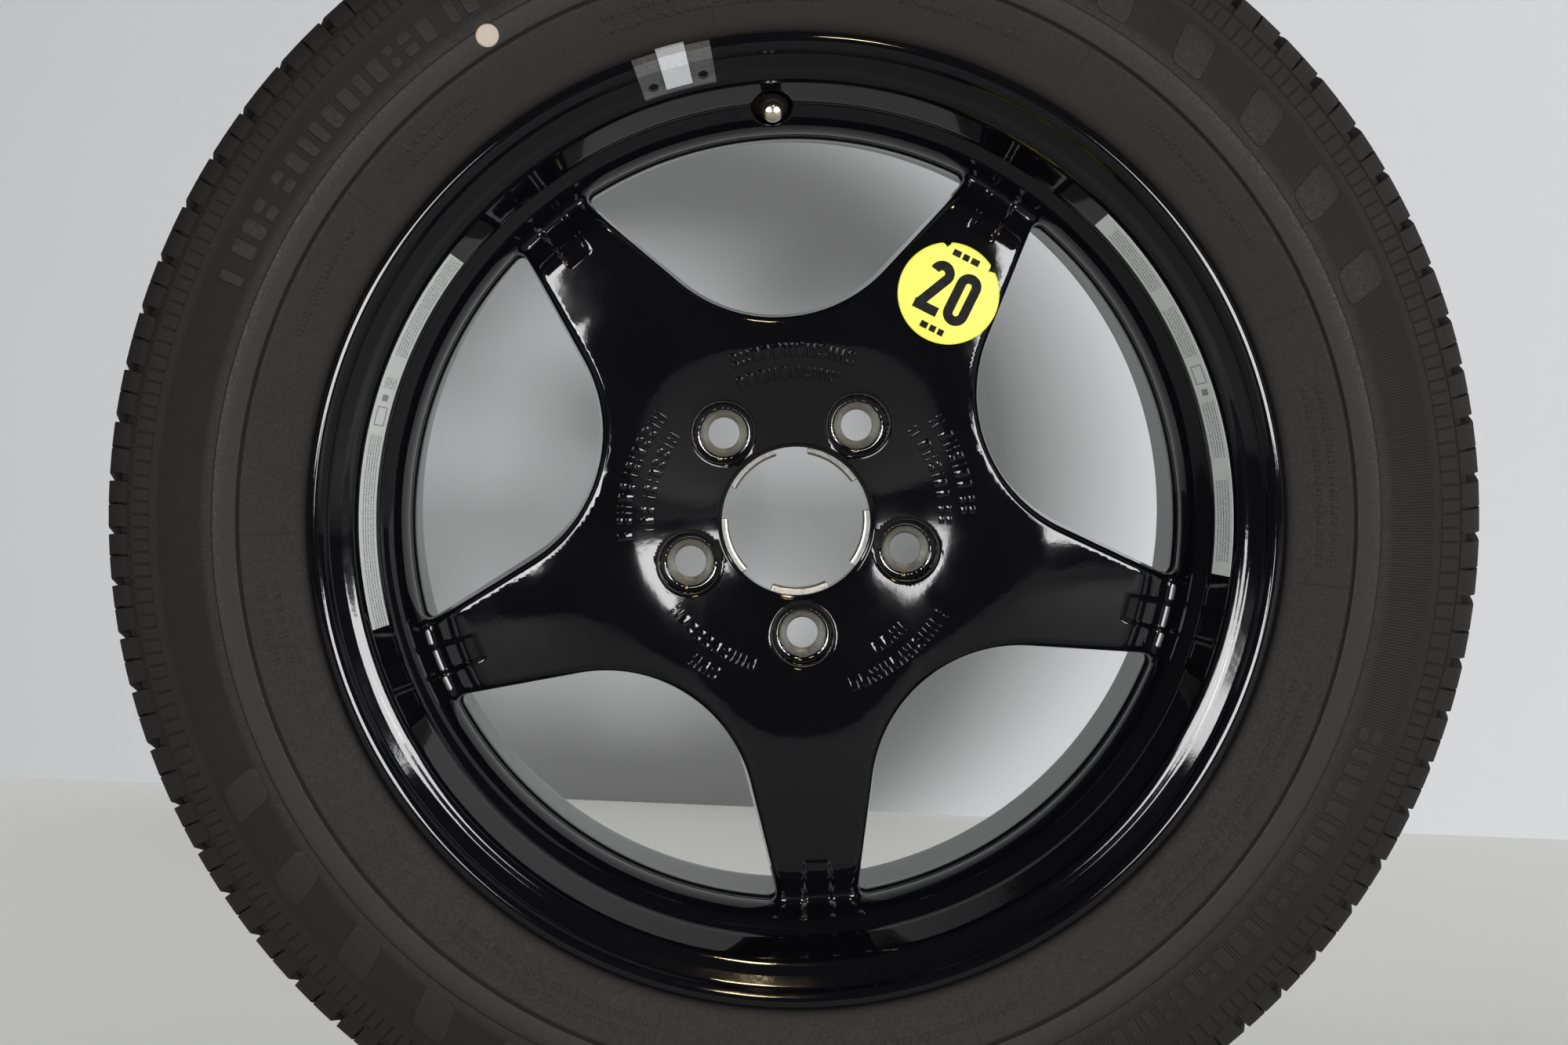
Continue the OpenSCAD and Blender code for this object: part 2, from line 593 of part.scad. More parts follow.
// A film on the disc's outboard face
module speed_sticker() {
    color([0.9, 0.88, 0.35]) upright() intersection() {
        ring_section(concat(face_far, [for (i = [len(face_far) - 1 : -1 : 0]) face_far[i] + [0, film_t]],
                            [[window_in_r + 2.5, crown_z + film_t], [window_in_r + 2.5, crown_z]]));
        rotate([0, 0, sticker_angle]) translate([sticker_at_r, 0, 0])
            cylinder(r = sticker_d / 2, h = 200, $fn = 96);
    }
}

// A film strip on the land between the ridge and the flange
module label_strip(mid) {
    along = (land_out - land_in) / norm(land_out - land_in);
    up = [-along[1], along[0]] * film_t;
    a = land_in + along * label_margin;
    b = land_out - along * label_margin;
    color([0.82, 0.84, 0.82]) upright() rotate([0, 0, mid - label_angle / 2])
        rotate_extrude(angle = label_angle, $fn = 180) polygon([a, b, b + up, a + up]);
}

module label_left() {
    label_strip(label_left_mid);
}

module label_right() {
    label_strip(label_right_mid);
}

wheel();
tyre();
valve_rubber();
valve_stem();
core_plug();
core_barrel();
core_gasket();
core_pin();
core_cup();
core_spring();
valve_cap();
cap_seal();
balance_weight();
weight_clip();
speed_sticker();
label_left();
label_right();
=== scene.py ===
"""Looks of a spare wheel: gloss black five-spoke casting, tyre, valve, balance weight, sticker and labels.

Shapes are made in the wheel's own frame, in millimetres, with z along the axle, outboard at +z and the valve
at +y. to_frame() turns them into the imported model's frame, and mesh_piece() makes them metres.
"""
import json
import math
import random
from itertools import product

import bpy
import numpy as np
from mathutils import Matrix, Vector

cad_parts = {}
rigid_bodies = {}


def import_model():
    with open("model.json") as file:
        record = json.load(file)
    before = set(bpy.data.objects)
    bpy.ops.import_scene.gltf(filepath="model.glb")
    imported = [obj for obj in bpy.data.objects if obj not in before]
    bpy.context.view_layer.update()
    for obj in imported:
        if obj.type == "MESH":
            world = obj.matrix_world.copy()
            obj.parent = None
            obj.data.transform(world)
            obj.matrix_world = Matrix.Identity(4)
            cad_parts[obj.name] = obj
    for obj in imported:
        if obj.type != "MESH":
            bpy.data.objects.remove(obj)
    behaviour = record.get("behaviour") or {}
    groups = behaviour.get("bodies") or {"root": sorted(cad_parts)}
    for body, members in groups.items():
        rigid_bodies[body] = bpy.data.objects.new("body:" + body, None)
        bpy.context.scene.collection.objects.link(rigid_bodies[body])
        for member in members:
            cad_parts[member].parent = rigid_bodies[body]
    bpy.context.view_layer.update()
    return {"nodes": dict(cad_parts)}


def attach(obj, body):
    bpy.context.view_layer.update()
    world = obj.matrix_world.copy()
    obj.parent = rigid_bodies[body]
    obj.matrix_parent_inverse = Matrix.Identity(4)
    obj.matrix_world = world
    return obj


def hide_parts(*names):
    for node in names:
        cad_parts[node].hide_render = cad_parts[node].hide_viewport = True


for left_over in list(bpy.data.objects):
    bpy.data.objects.remove(left_over)
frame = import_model()

# Camera, with its angles in degrees
IMAGE_W = 2000
FOCAL_PX = 3720
SENSOR_MM = 36
CAMERA_MM = (-29.3, -1504.6, 63.2)
CAMERA_YAW, CAMERA_PITCH, CAMERA_ROLL = 0.928, -2.53, -3.395


def make_camera():
    yaw, pitch, roll = (math.radians(a) for a in (CAMERA_YAW, CAMERA_PITCH, CAMERA_ROLL))
    ahead = Vector((math.sin(yaw) * math.cos(pitch), math.cos(yaw) * math.cos(pitch), math.sin(pitch)))
    right = Vector((math.cos(yaw), -math.sin(yaw), 0))
    up = right.cross(ahead)
    right, up = right * math.cos(roll) + up * math.sin(roll), -right * math.sin(roll) + up * math.cos(roll)
    data = bpy.data.cameras.new("camera")
    data.sensor_width = SENSOR_MM
    data.lens = SENSOR_MM * FOCAL_PX / IMAGE_W
    data.clip_start, data.clip_end = 0.05, 50
    camera = bpy.data.objects.new("camera", data)
    matrix = np.eye(4)
    for i, axis in enumerate((right, up, -ahead)):
        matrix[:3, i] = axis
    matrix[:3, 3] = np.array(CAMERA_MM) * 0.001
    camera.matrix_world = Matrix(matrix)
    bpy.context.scene.collection.objects.link(camera)
    bpy.context.scene.camera = camera


make_camera()

# Sizes in mm and angles in degrees, as in the CAD source
SPOKES = 5
SPOKE_STEP = 360 / SPOKES
FIRST_SPOKE = -90.0
SEAT_R = 218.3
FLANGE_R = 235.6
FACE_Z = 95.25
END_Z = 107.75
WELL_R = 200.0
BARREL_IN_R = 194.1
LIP_R = 189.0
HUB_Z = 51.0
BORE_R = 33.3
RELIEF_R = 36.6
PAD_R = 75.0
BOLT_R = 56.0
BOLT_HOLE_R = 7.75
BALL_R, BALL_Z = 14.0, 69.69
SEAT_Z = 63.0
WINDOW_IN_R = 102.5
NOSE_R = 71.4
SIDE_ANGLE = math.radians(47.1)
VALVE_ANGLE = 90
VALVE_R, VALVE_Z, VALVE_LEAN = 207.0, 59.2, math.radians(16)
TREAD_R = 339.65
BULGE_R = 275.3
TYRE_HALF_W = 116.5
STICKER_R = 25.0

# How finely the wheel is cut, and where its pieces meet
SEED = 5
STEP = 0.6
DISC_IN_R, DISC_OUT_R = 39.0, 201.5
BARREL_CUT_Z = 22.0
PATCH_HALF, PATCH_Z, PATCH_OUT_R = 4.8, 55.0, 219.0
RING_THETA = FIRST_SPOKE - SPOKE_STEP / 2 + STEP * np.arange(round(360 / STEP))
COARSE_THETA = RING_THETA[::3]
AT_VALVE = np.abs(RING_THETA + STEP / 2 - VALVE_ANGLE) < PATCH_HALF
MIRROR = np.array([1, 1, -1])


# Points and outlines
def to_frame(p):
    """Points or directions in the wheel's frame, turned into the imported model's."""
    p = np.asarray(p, float)
    return np.stack([p[..., 0], -p[..., 2], p[..., 1]], -1)


def cylinder_points(theta, r, z):
    t = np.radians(theta)
    return np.stack([r * np.cos(t), r * np.sin(t), z], -1)


def arc(cx, cy, r, a0, a1, n):
    a = np.radians(np.linspace(a0, a1, n + 1))
    return np.stack([cx + r * np.cos(a), cy + r * np.sin(a)], 1)


def spaced(*runs):
    """Grid lines from runs of (start, end, step), whose ends meet."""
    lines = [np.linspace(a, b, int(round((b - a) / step)) + 1)[:-1] for a, b, step in runs]
    return np.concatenate(lines + [[runs[-1][1]]])


def run_length(line):
    """How far each point of a line is along it."""
    return np.concatenate([[0], np.cumsum(np.linalg.norm(np.diff(line, axis=0), axis=1))])


def resample(line, step):
    p = np.array(line, float)
    d = run_length(p)
    s = np.linspace(0, d[-1], int(max(d[-1] / step, 1)) + 1)
    return np.stack([np.interp(s, d, p[:, 0]), np.interp(s, d, p[:, 1])], 1)


def smooth_line(points, step):
    """A smooth line through the points (Catmull-Rom), with points about step apart."""
    p = np.array(points, float)
    p = np.concatenate([[2 * p[0] - p[1]], p, [2 * p[-1] - p[-2]]])
    out = []
    for a, b, c, d in zip(p[:-3], p[1:-2], p[2:-1], p[3:]):
        t = np.linspace(0, 1, max(int(np.linalg.norm(c - b) / step), 1) + 1)[:-1, None]
        bend, twist = 2 * a - 5 * b + 4 * c - d, 3 * b - a - 3 * c + d
        out.append(0.5 * (2 * b + (c - a) * t + bend * t ** 2 + twist * t ** 3))
    return np.concatenate(out + [p[-2:-1]])


def soft_curve(points, spread, step=0.25):
    """A table of the line through the points, blurred by spread, as (positions, values)."""
    p = np.array(points, float)
    x = np.arange(p[0, 0] - 8 * spread, p[-1, 0] + 8 * spread, step)
    y = np.interp(x, p[:, 0], p[:, 1])
    k = np.exp(-0.5 * (np.arange(-3 * spread, 3 * spread + step, step) / spread) ** 2)
    return x, np.convolve(np.pad(y, len(k) // 2, mode="edge"), k / k.sum(), mode="valid")[: len(x)]


def blurred(values, kernel):
    """A line of values blurred by a kernel of odd length, which leaves both ends where they are."""
    padded = np.pad(values, len(kernel) // 2, mode="reflect", reflect_type="odd")
    return np.convolve(padded, kernel / kernel.sum(), "valid")


def soften(outline, spread, step):
    """An outline with its corners rounded by a running mean, and its points closer in the bends."""
    fine, turn_step = 0.25, 0.16
    p = resample(outline, fine)
    kernel = np.ones(int(spread / fine) * 2 + 1)
    s = np.stack([blurred(p[:, m], kernel) for m in (0, 1)], 1)
    turn = np.abs(np.diff(np.unwrap(np.arctan2(*np.gradient(s, axis=0).T[::-1])), prepend=0))
    turn[0] = 0
    weight = np.cumsum(fine / step + turn / turn_step)
    at = np.interp(np.linspace(weight[0], weight[-1], int(weight[-1]) + 1), weight, np.arange(len(s)))
    return np.stack([np.interp(at, np.arange(len(s)), s[:, m]) for m in (0, 1)], 1)


def line_normals(p, left=True):
    """Normals of an open line, to its left seen along it."""
    t = np.gradient(p, axis=0)
    n = np.stack([-t[:, 1], t[:, 0]], 1) * (1 if left else -1)
    return n / np.maximum(np.linalg.norm(n, axis=1, keepdims=True), 1e-9)


# Meshes
def mesh_piece(name, points, faces, normals=None):
    """A smooth mesh object from points in the wheel's frame. faces is an array, or a list of tuples."""
    mesh = bpy.data.meshes.new(name)
    faces = faces.tolist() if isinstance(faces, np.ndarray) else faces
    mesh.from_pydata((to_frame(points) * 0.001).tolist(), [], faces)
    mesh.polygons.foreach_set("use_smooth", [True] * len(mesh.polygons))
    if normals is not None:
        mesh.normals_split_custom_set_from_vertices(to_frame(normals).tolist())
    mesh.update()
    obj = bpy.data.objects.new(name, mesh)
    bpy.context.scene.collection.objects.link(obj)
    return obj


def sharp_piece(name, parts, angle):
    """One mesh of the parts, shaded smooth apart from edges sharper than the angle."""
    piece = mesh_piece(name, *merge(parts))
    piece.data.set_sharp_from_angle(angle=math.radians(angle))
    return piece


def merge(parts):
    """Several (points, quads), or (points, quads, normals), as one."""
    points, quads, *normals = zip(*parts)
    starts = np.cumsum([0] + [len(p) for p in points[:-1]])
    quads = [q + start for q, start in zip(quads, starts)]
    return [np.concatenate(column) for column in (points, quads, *normals)]


def ring_quads(n, m):
    """Quads between n rows of m points, the last row joined to the first."""
    i, j = np.meshgrid(np.arange(n), np.arange(m - 1), indexing="ij")
    k = (i + 1) % n
    return np.stack([i * m + j, k * m + j, k * m + j + 1, i * m + j + 1], -1)


def sheet_quads(n, m):
    """Quads between n rows of m points, open at both ends."""
    i, j = np.meshgrid(np.arange(n - 1), np.arange(m - 1), indexing="ij")
    return np.stack([i * m + j, i * m + j + 1, (i + 1) * m + j + 1, (i + 1) * m + j], -1).reshape(-1, 4)


def face_normals(p, quads):
    a, b, c, d = (p[quads[:, m]] for m in range(4))
    return np.cross(c - a, d - b)


def loop_edges(first, n):
    """The edges of a closed loop of n points, as pairs of their numbers."""
    return [(first + k, first + (k + 1) % n) for k in range(n)]


def facing(p, quads, way):
    """The quads, all turned over if they face away from way, which is one direction or one for each."""
    return quads[:, ::-1] if (face_normals(p, quads) * way).sum() < 0 else quads


def turned_line(line, t):
    """The points of a line of (radius, height), or of one for each angle t, turned round the axle."""
    r, z = line[..., 0], line[..., 1]
    x, y, z = np.broadcast_arrays(r * np.cos(t), r * np.sin(t), z)
    return np.stack([x, y, z], -1).reshape(-1, 3)


def revolve(line, normals, theta, gap=None):
    """A surface of revolution over the angles theta. gap marks the quads left out."""
    p, q = (turned_line(v, np.radians(theta)[:, None]) for v in (line, normals))
    quads = ring_quads(len(theta), len(line))
    if gap is not None:
        quads = quads[~gap]
    quads = quads.reshape(-1, 4)
    return p, facing(p, quads, q[quads].sum(1)), q


# Fields, which are negative inside a solid
def smoothstep(a, b, x):
    t = np.clip((x - a) / (b - a), 0, 1)
    return t * t * (3 - 2 * t)


def meet(a, b, r):
    """What solid a and solid b share, with the edge rounded by r."""
    u, v = np.maximum(a + r, 0), np.maximum(b + r, 0)
    return np.minimum(np.maximum(a, b), -r) + np.hypot(u, v)


def join(a, b, r):
    """Solid a and solid b together, with the corner between them filled by a fillet of r."""
    u, v = np.maximum(r - a, 0), np.maximum(r - b, 0)
    return np.maximum(np.minimum(a, b), r) - np.hypot(u, v)


def gradient(f, p, h=0.04):
    g = np.empty_like(p)
    for i in range(3):
        d = np.zeros(3)
        d[i] = h
        g[..., i] = (f(p + d) - f(p - d)) / (2 * h)
    return g


def polygon_distance(points, q):
    """Signed distance from q (…, 2) to a closed outline."""
    best = np.full(q.shape[:-1], 1e9)
    inside = np.zeros(q.shape[:-1], bool)
    for a, b in zip(points, np.roll(points, -1, 0)):
        e = b - a
        w = q - a
        t = np.clip((w @ e) / max(e @ e, 1e-12), 0, 1)
        best = np.minimum(best, np.hypot(*np.moveaxis(w - t[..., None] * e, -1, 0)))
        cross = (a[1] > q[..., 1]) != (b[1] > q[..., 1])
        with np.errstate(divide="ignore", invalid="ignore"):
            x = (b[0] - a[0]) * (q[..., 1] - a[1]) / (b[1] - a[1]) + a[0]
        inside ^= cross & (q[..., 0] < x)
    return np.where(inside, -best, best)


class Table:
    """A blurred distance field of an outline, read by bilinear interpolation."""

    def __init__(self, outline, low, high, step, blur):
        self.low, self.step = np.array(low, float), step
        counts = [int(round((h - l) / step)) + 1 for l, h in zip(low, high)]
        lines = [l + step * np.arange(n) for l, n in zip(low, counts)]
        self.d = polygon_distance(outline, np.stack(np.meshgrid(*lines, indexing="ij"), -1))
        reach = int(math.ceil(3 * blur / step))
        kernel = np.exp(-0.5 * (np.arange(-reach, reach + 1) * step / blur) ** 2)
        for axis in (0, 1):
            self.d = np.apply_along_axis(blurred, axis, self.d, kernel)

    def __call__(self, r, z):
        d = self.d
        u = np.clip((r - self.low[0]) / self.step, 0, d.shape[0] - 1.001)
        v = np.clip((z - self.low[1]) / self.step, 0, d.shape[1] - 1.001)
        i, j = u.astype(int), v.astype(int)
        u, v = u - i, v - j
        return ((1 - u) * (1 - v) * d[i, j] + u * (1 - v) * d[i + 1, j]
                + (1 - u) * v * d[i, j + 1] + u * v * d[i + 1, j + 1])


def grid_values(f, theta, radii, heights):
    """The field at the points of a grid in cylinder coordinates."""
    return f(cylinder_points(*np.meshgrid(theta, radii, heights, indexing="ij")))


def crossings(values, cells):
    """The mean place of the sign changes on each cell's edges, in cell widths from its corner."""
    at = np.zeros((len(cells), 3))
    hits = np.zeros((len(cells), 1))
    for axis, a, b in product(range(3), (0, 1), (0, 1)):
        start = np.insert([a, b], axis, 0)
        way = np.eye(3, dtype=int)[axis]
        v0 = values[tuple((cells + start).T)]
        v1 = values[tuple((cells + start + way).T)]
        cut = (v0 < 0) != (v1 < 0)
        share = np.where(cut, v0 / np.where(cut, v0 - v1, 1), 0)
        at += np.where(cut[:, None], start + share[:, None] * way, 0)
        hits += cut[:, None]
    return at / hits


def snapped(f, place, fixed, reach, steps=5):
    """Points at places in cylinder coordinates, moved onto f = 0 but not along the coordinates fixed."""
    t = np.radians(place[:, 0])
    outward = np.stack([np.cos(t), np.sin(t), 0 * t], -1)
    onward = np.stack([-np.sin(t), np.cos(t), 0 * t], -1)
    upward = np.broadcast_to([0.0, 0.0, 1.0], outward.shape)
    start = p = cylinder_points(*place.T)
    for _ in range(steps):
        g = gradient(f, p)
        for axis, way in enumerate((onward, outward, upward)):
            g = np.where(fixed[:, axis, None], g - (g * way).sum(-1, keepdims=True) * way, g)
        size = np.maximum((g * g).sum(-1), 0.05)
        p = p - np.clip(f(p) / size, -1, 1)[:, None] * g
        moved = p - start
        far = np.linalg.norm(moved, axis=-1, keepdims=True)
        p = np.where(far > reach, start + moved * reach / np.maximum(far, 1e-9), p)
    return p


def net_quads(inside, number, closed):
    """A quad round each grid edge that the surface crosses, between the points of the cells beside it."""
    shape = number.shape
    quads = []
    for axis in range(3):
        ranges = [np.arange(0 if m == axis or (m == 0 and closed) else 1, shape[m]) for m in range(3)]
        at = np.stack(np.meshgrid(*ranges, indexing="ij"), -1).reshape(-1, 3)
        end = at + np.eye(3, dtype=int)[axis]
        at = at[inside[tuple(at.T)] != inside[tuple(end.T)]]
        ring = []
        for a, b in ((-1, -1), (0, -1), (0, 0), (-1, 0)):
            cell = at + np.insert([a, b], axis, 0)
            if closed:
                cell[:, 0] %= shape[0]
            ring.append(number[tuple(cell.T)])
        quads.append(np.stack(ring, -1))
    quads = np.concatenate(quads)
    return quads[(quads >= 0).all(-1)]


def surface_net(f, theta, radii, heights, values, closed=True, hole=None):
    """Quads on the surface f = 0 over a grid in cylinder coordinates, with each point moved onto it.

    theta is periodic if closed. hole marks cells that are left out. Points beside it, and beside the grid's
    ends, stay exactly on that border, so that neighbouring pieces meet.
    """
    if closed:
        values = np.concatenate([values, values[:1]])
    inside = values < 0
    shape = np.array(values.shape) - 1
    ct, cr, ch = shape
    corners = [inside[a:a + ct, b:b + cr, c:c + ch] for a, b, c in product((0, 1), repeat=3)]
    count = sum(corner.astype(np.int8) for corner in corners)
    kept = np.ones(shape, bool) if hole is None else ~hole
    active = (count > 0) & (count < 8) & kept
    cells = np.argwhere(active)
    number = np.full(active.shape, -1)
    number[tuple(cells.T)] = np.arange(len(cells))

    theta = theta[0] + np.arange(ct + 1) * (theta[1] - theta[0])
    at = cells + crossings(values, cells)
    place = np.stack([theta[0] + at[:, 0] * (theta[1] - theta[0]),
                      np.interp(at[:, 1], np.arange(cr + 1), radii),
                      np.interp(at[:, 2], np.arange(ch + 1), heights)], -1)
    fixed = np.zeros(cells.shape, bool)
    for axis, way in product(range(3), (1, -1)):
        beside = cells + way * np.eye(3, dtype=int)[axis]
        if closed:
            beside[:, 0] %= ct
        out = ((beside < 0) | (beside >= shape)).any(1)
        out |= ~kept[tuple(np.clip(beside, 0, shape - 1).T)]
        fixed[out, axis] = True
        place[out, axis] = (theta, radii, heights)[axis][cells[out, axis] + (way > 0)]

    p = snapped(f, place, fixed, 1.5 * max(radii[1] - radii[0], heights[1] - heights[0]))
    normal = gradient(f, p)
    normal /= np.maximum(np.linalg.norm(normal, axis=-1, keepdims=True), 1e-9)
    quads = net_quads(inside, number, closed)
    turned = (face_normals(p, quads) * normal[quads].sum(1)).sum(-1) < 0
    quads[turned] = quads[turned][:, ::-1]
    return p, quads, normal


def part_of(points, quads, normal, keep):
    """The faces marked in keep, with only their own points."""
    used, back = np.unique(quads[keep], return_inverse=True)
    return points[used], back.reshape(-1, 4), normal[used]


# Rim section, as (radius, height)
RIM_FRONT = np.concatenate([
    [[LIP_R, 10.0]],
    arc(LIP_R + 1.9, HUB_Z - 1.9, 1.9, 180, 100, 4),
    arc(LIP_R + 27, HUB_Z + 0.8, 25.1, 180, 123, 14),
    [[204.4, 74.6], [205.4, 78.0], [212.2, 93.45], [213.9, 96.25], [216.2, 97.65], [219.2, 98.55],
     [225.2, 102.25], [226.2, 103.65], [226.7, 105.35]],
    arc(FLANGE_R - 4.3, END_Z - 4.3, 4.3, 118, 5, 8),
    [[235.6, 103.85], [235.2, 101.65], [233.9, 98.85]],
])
TYRE_SIDE_HALF = np.concatenate([
    [[FLANGE_R, END_Z - 3.9], [FLANGE_R - 0.4, END_Z - 6.1], [FLANGE_R - 1.7, END_Z - 8.9],
     [FLANGE_R - 3.9, FACE_Z + 1.3], [FLANGE_R - 6.6, FACE_Z + 0.15]],
    arc(SEAT_R + 6.5, FACE_Z - 6.5, 6.5, 90, 180, 5),
    [[217.25, 77.75], [217.8, 76.25], [218.0, 74.25], [217.8, 72.25], [216.8, 70.25]],
])
WELL = [[215.5, 64.2], [214.7, 61.9], [202.0, 57.4], [WELL_R + 0.4, 55.7], [WELL_R, 53.0], [WELL_R, 14.0],
        [203.5, 4.0], [203.5, -58.25], [216.4, -69.25]]
BARREL_IN = [[228.0, -106.15], [221.3, -103.35], [214.3, -98.85], [211.9, -91.25], [211.4, -74.25],
             [199.1, -62.65], [197.0, -59.85], [196.7, -55.25], [BARREL_IN_R, BARREL_CUT_Z]]
RIM_SOLID = np.concatenate([RIM_FRONT[1:], [[233.0, 90.0], [233.0, 0.0], [BARREL_IN_R + 0.3, 0.0],
                                            [BARREL_IN_R, BARREL_CUT_Z], [193.6, 34.0], [191.4, 38.5],
                                            [LIP_R, 42.0]]])
RIM = Table(RIM_SOLID, (150, 5), (242, 115), 0.25, 0.45)

# Disc: hub and spokes
FACE_IN = smooth_line([(30, 66.6), (38.5, 67.7), (45, 68.8), (60, 71.8), (76, 75.0), (90, 77.0),
                       (105, 77.95), (120, 77.85), (140, 76.6), (158, 74.5), (171, 72.6)], 1.5)
FACE_CURVE = soft_curve([*FACE_IN, (175.5, 70.8), (179.5, 67.4), (184, 62.8), (188.5, 59.2), (192, 58.4),
                         (212, 58.4)], 1.6)
BACK_CURVE = soft_curve([(30, HUB_Z), (PAD_R, HUB_Z), (76.5, 52.5), (81, 54), (93, 53.6), (117.5, 50.5),
                         (147.5, 46), (176.5, 41.5), (189, 36), (194.9, 33), (212, 28)], 1.2)
FACE_SLOPE = 0.96
CROSS_CROWN = 0.0007
GROOVE_HALF_W, GROOVE_DEPTH = 6.5, 1.4
PARTING_Z = 52.0
FRONT_DRAFT, BACK_DRAFT = 0.085, 0.05
FRONT_EDGE_R, BACK_EDGE_R, RIM_FILLET_R = 3.6, 3.0, 5.5
HOLLOW_FROM_X, HOLLOW_TO_X, HOLLOW_MAX_HALF_W = 92, 168, 26.0
SPOKE_TAPER, SPOKE_WALL, SPOKE_FACE_T = 0.196, 7.5, 12
BOWL_R, BOWL_DRAFT, BOWL_HOLE_R = 14.4, 0.17, 11.5
POCKET_R, POCKET_Z = 10.5, 57


def from_window(x, y):
    """Coordinates along and across the nearest window's middle line, from those of the nearest spoke."""
    h = math.radians(SPOKE_STEP / 2)
    return x * math.cos(h) + y * math.sin(h), np.abs(-x * math.sin(h) + y * math.cos(h))


def window_distance(x, y):
    """Distance to the window's outline in the plane of the disc, positive in the solid."""
    u, v = from_window(x, y)
    nose_x = WINDOW_IN_R + NOSE_R
    along = (u - nose_x) * math.cos(SIDE_ANGLE) + v * math.sin(SIDE_ANGLE)
    line = -(u - nose_x) * math.sin(SIDE_ANGLE) + v * math.cos(SIDE_ANGLE) - NOSE_R
    return np.where(along < 0, np.hypot(u - nose_x, v) - NOSE_R, line)


def disc_field(x, y, z):
    """The hub and spokes. x runs along the nearest spoke and y is never negative."""
    r = np.hypot(x, y)
    face = np.interp(r, *FACE_CURVE) - CROSS_CROWN * y * y * smoothstep(80, 110, r)
    across = 1 - smoothstep(GROOVE_HALF_W - 1, GROOVE_HALF_W + 1, y)
    groove = GROOVE_DEPTH * smoothstep(165, 171, r) * across
    front = (z - face + groove) * FACE_SLOPE
    back = np.interp(r, *BACK_CURVE) - z
    draft = np.where(z > PARTING_Z, FRONT_DRAFT, BACK_DRAFT) * np.abs(z - PARTING_Z)
    side = draft - window_distance(x, y)
    solid = meet(meet(front, side, FRONT_EDGE_R), back, BACK_EDGE_R)
    half_w = np.maximum(33.0 - SPOKE_TAPER * (x - 120), 8) - SPOKE_WALL
    flank = y - np.minimum(half_w, HOLLOW_MAX_HALF_W) + BACK_DRAFT * (z - 45)
    ends = np.maximum(HOLLOW_FROM_X - x, x - HOLLOW_TO_X)
    hollow = meet(meet(flank, ends, 6), z - (face - SPOKE_FACE_T), 3)
    return meet(solid, -hollow, 2.5)


def field(p):
    """The casting's centre: hub, spokes and the rim's inner part."""
    x, y, z = np.moveaxis(p, -1, 0)
    r = np.hypot(x, y)
    turn = np.degrees(np.arctan2(y, x)) - FIRST_SPOKE
    turn = np.radians(np.abs((turn + SPOKE_STEP / 2) % SPOKE_STEP - SPOKE_STEP / 2))
    x, y = r * np.cos(turn), r * np.sin(turn)
    solid = join(disc_field(x, y, z), RIM(r, z), RIM_FILLET_R)
    from_bolt = np.hypot(x - BOLT_R, y)
    bowl = meet(from_bolt - BOWL_R - BOWL_DRAFT * np.maximum(z - 65, 0), SEAT_Z - z, 2.4)
    solid = np.maximum(meet(solid, -bowl, 1.5), BOWL_HOLE_R - from_bolt)
    u, v = from_window(x, y)
    pocket = np.maximum(np.hypot(u - BOLT_R, v * 0.9) - POCKET_R, z - POCKET_Z)
    return meet(solid, -pocket, 1.2)


def make_casting_centre():
    """The front and the back of the casting's centre, from the field of one spoke."""
    one_spoke = RING_THETA[:len(RING_THETA) // SPOKES]
    radii = spaced((DISC_IN_R, 80, 1.6), (80, 166, 2.0), (166, DISC_OUT_R, 1.3))
    heights = spaced((BARREL_CUT_Z, 46, 1.8), (46, 82, 1.6))
    values = np.tile(grid_values(field, one_spoke, radii, heights), (SPOKES, 1, 1))
    beside_valve = (radii[:-1] > 180)[:, None] & (heights[:-1] >= PATCH_Z - 0.01)
    hole = AT_VALVE[:, None, None] & beside_valve
    p, quads, normal = surface_net(field, RING_THETA, radii, heights, values, hole=hole)
    front = normal[quads].mean(1)[:, 2] > -0.25
    return [mesh_piece(name, *part_of(p, quads, normal, keep))
            for name, keep in (("casting_front", front), ("casting_back", ~front))]


# Rim ring
def on_section(line, steps=6, h=0.1):
    """Points of a line moved onto the rim's blurred section, which the other pieces meet, and normals."""
    p = np.array(line, float)
    for _ in range(steps):
        r, z = p.T
        g = np.stack([RIM(r + h, z) - RIM(r - h, z), RIM(r, z + h) - RIM(r, z - h)], -1) / (2 * h)
        p = p - (RIM(r, z) / np.maximum((g * g).sum(-1), 0.05))[:, None] * g
    return p, g / np.linalg.norm(g, axis=-1, keepdims=True)


def rim_height(r):
    """Height at which the rim's outboard section passes a radius."""
    z = np.linspace(45, 112, 6000)
    d = RIM(np.full_like(z, r), z)
    return float(z[np.nonzero(d < 0)[0][-1]])


def make_rim_outboard():
    """The rim's visible side outside the disc. It meets the casting's centre and the valve's pocket."""
    first = int(np.argmax(RIM_FRONT[:, 0] > DISC_OUT_R))
    line = resample(RIM_FRONT[first - 1:], 0.9)
    p, n = on_section(line[line[:, 0] > DISC_OUT_R - 0.2])
    p[0] = (DISC_OUT_R, rim_height(DISC_OUT_R))
    keep = np.concatenate([[True], p[1:, 0] > DISC_OUT_R + 0.3])
    p, n = p[keep], n[keep]
    border = np.nonzero(p[:, 0] > PATCH_OUT_R)[0][0] - 1
    p[border] = (PATCH_OUT_R, rim_height(PATCH_OUT_R))
    gap = AT_VALVE[:, None] & (np.arange(len(p) - 1) < border)
    return mesh_piece("rim_outboard", *revolve(p, n, RING_THETA, gap))


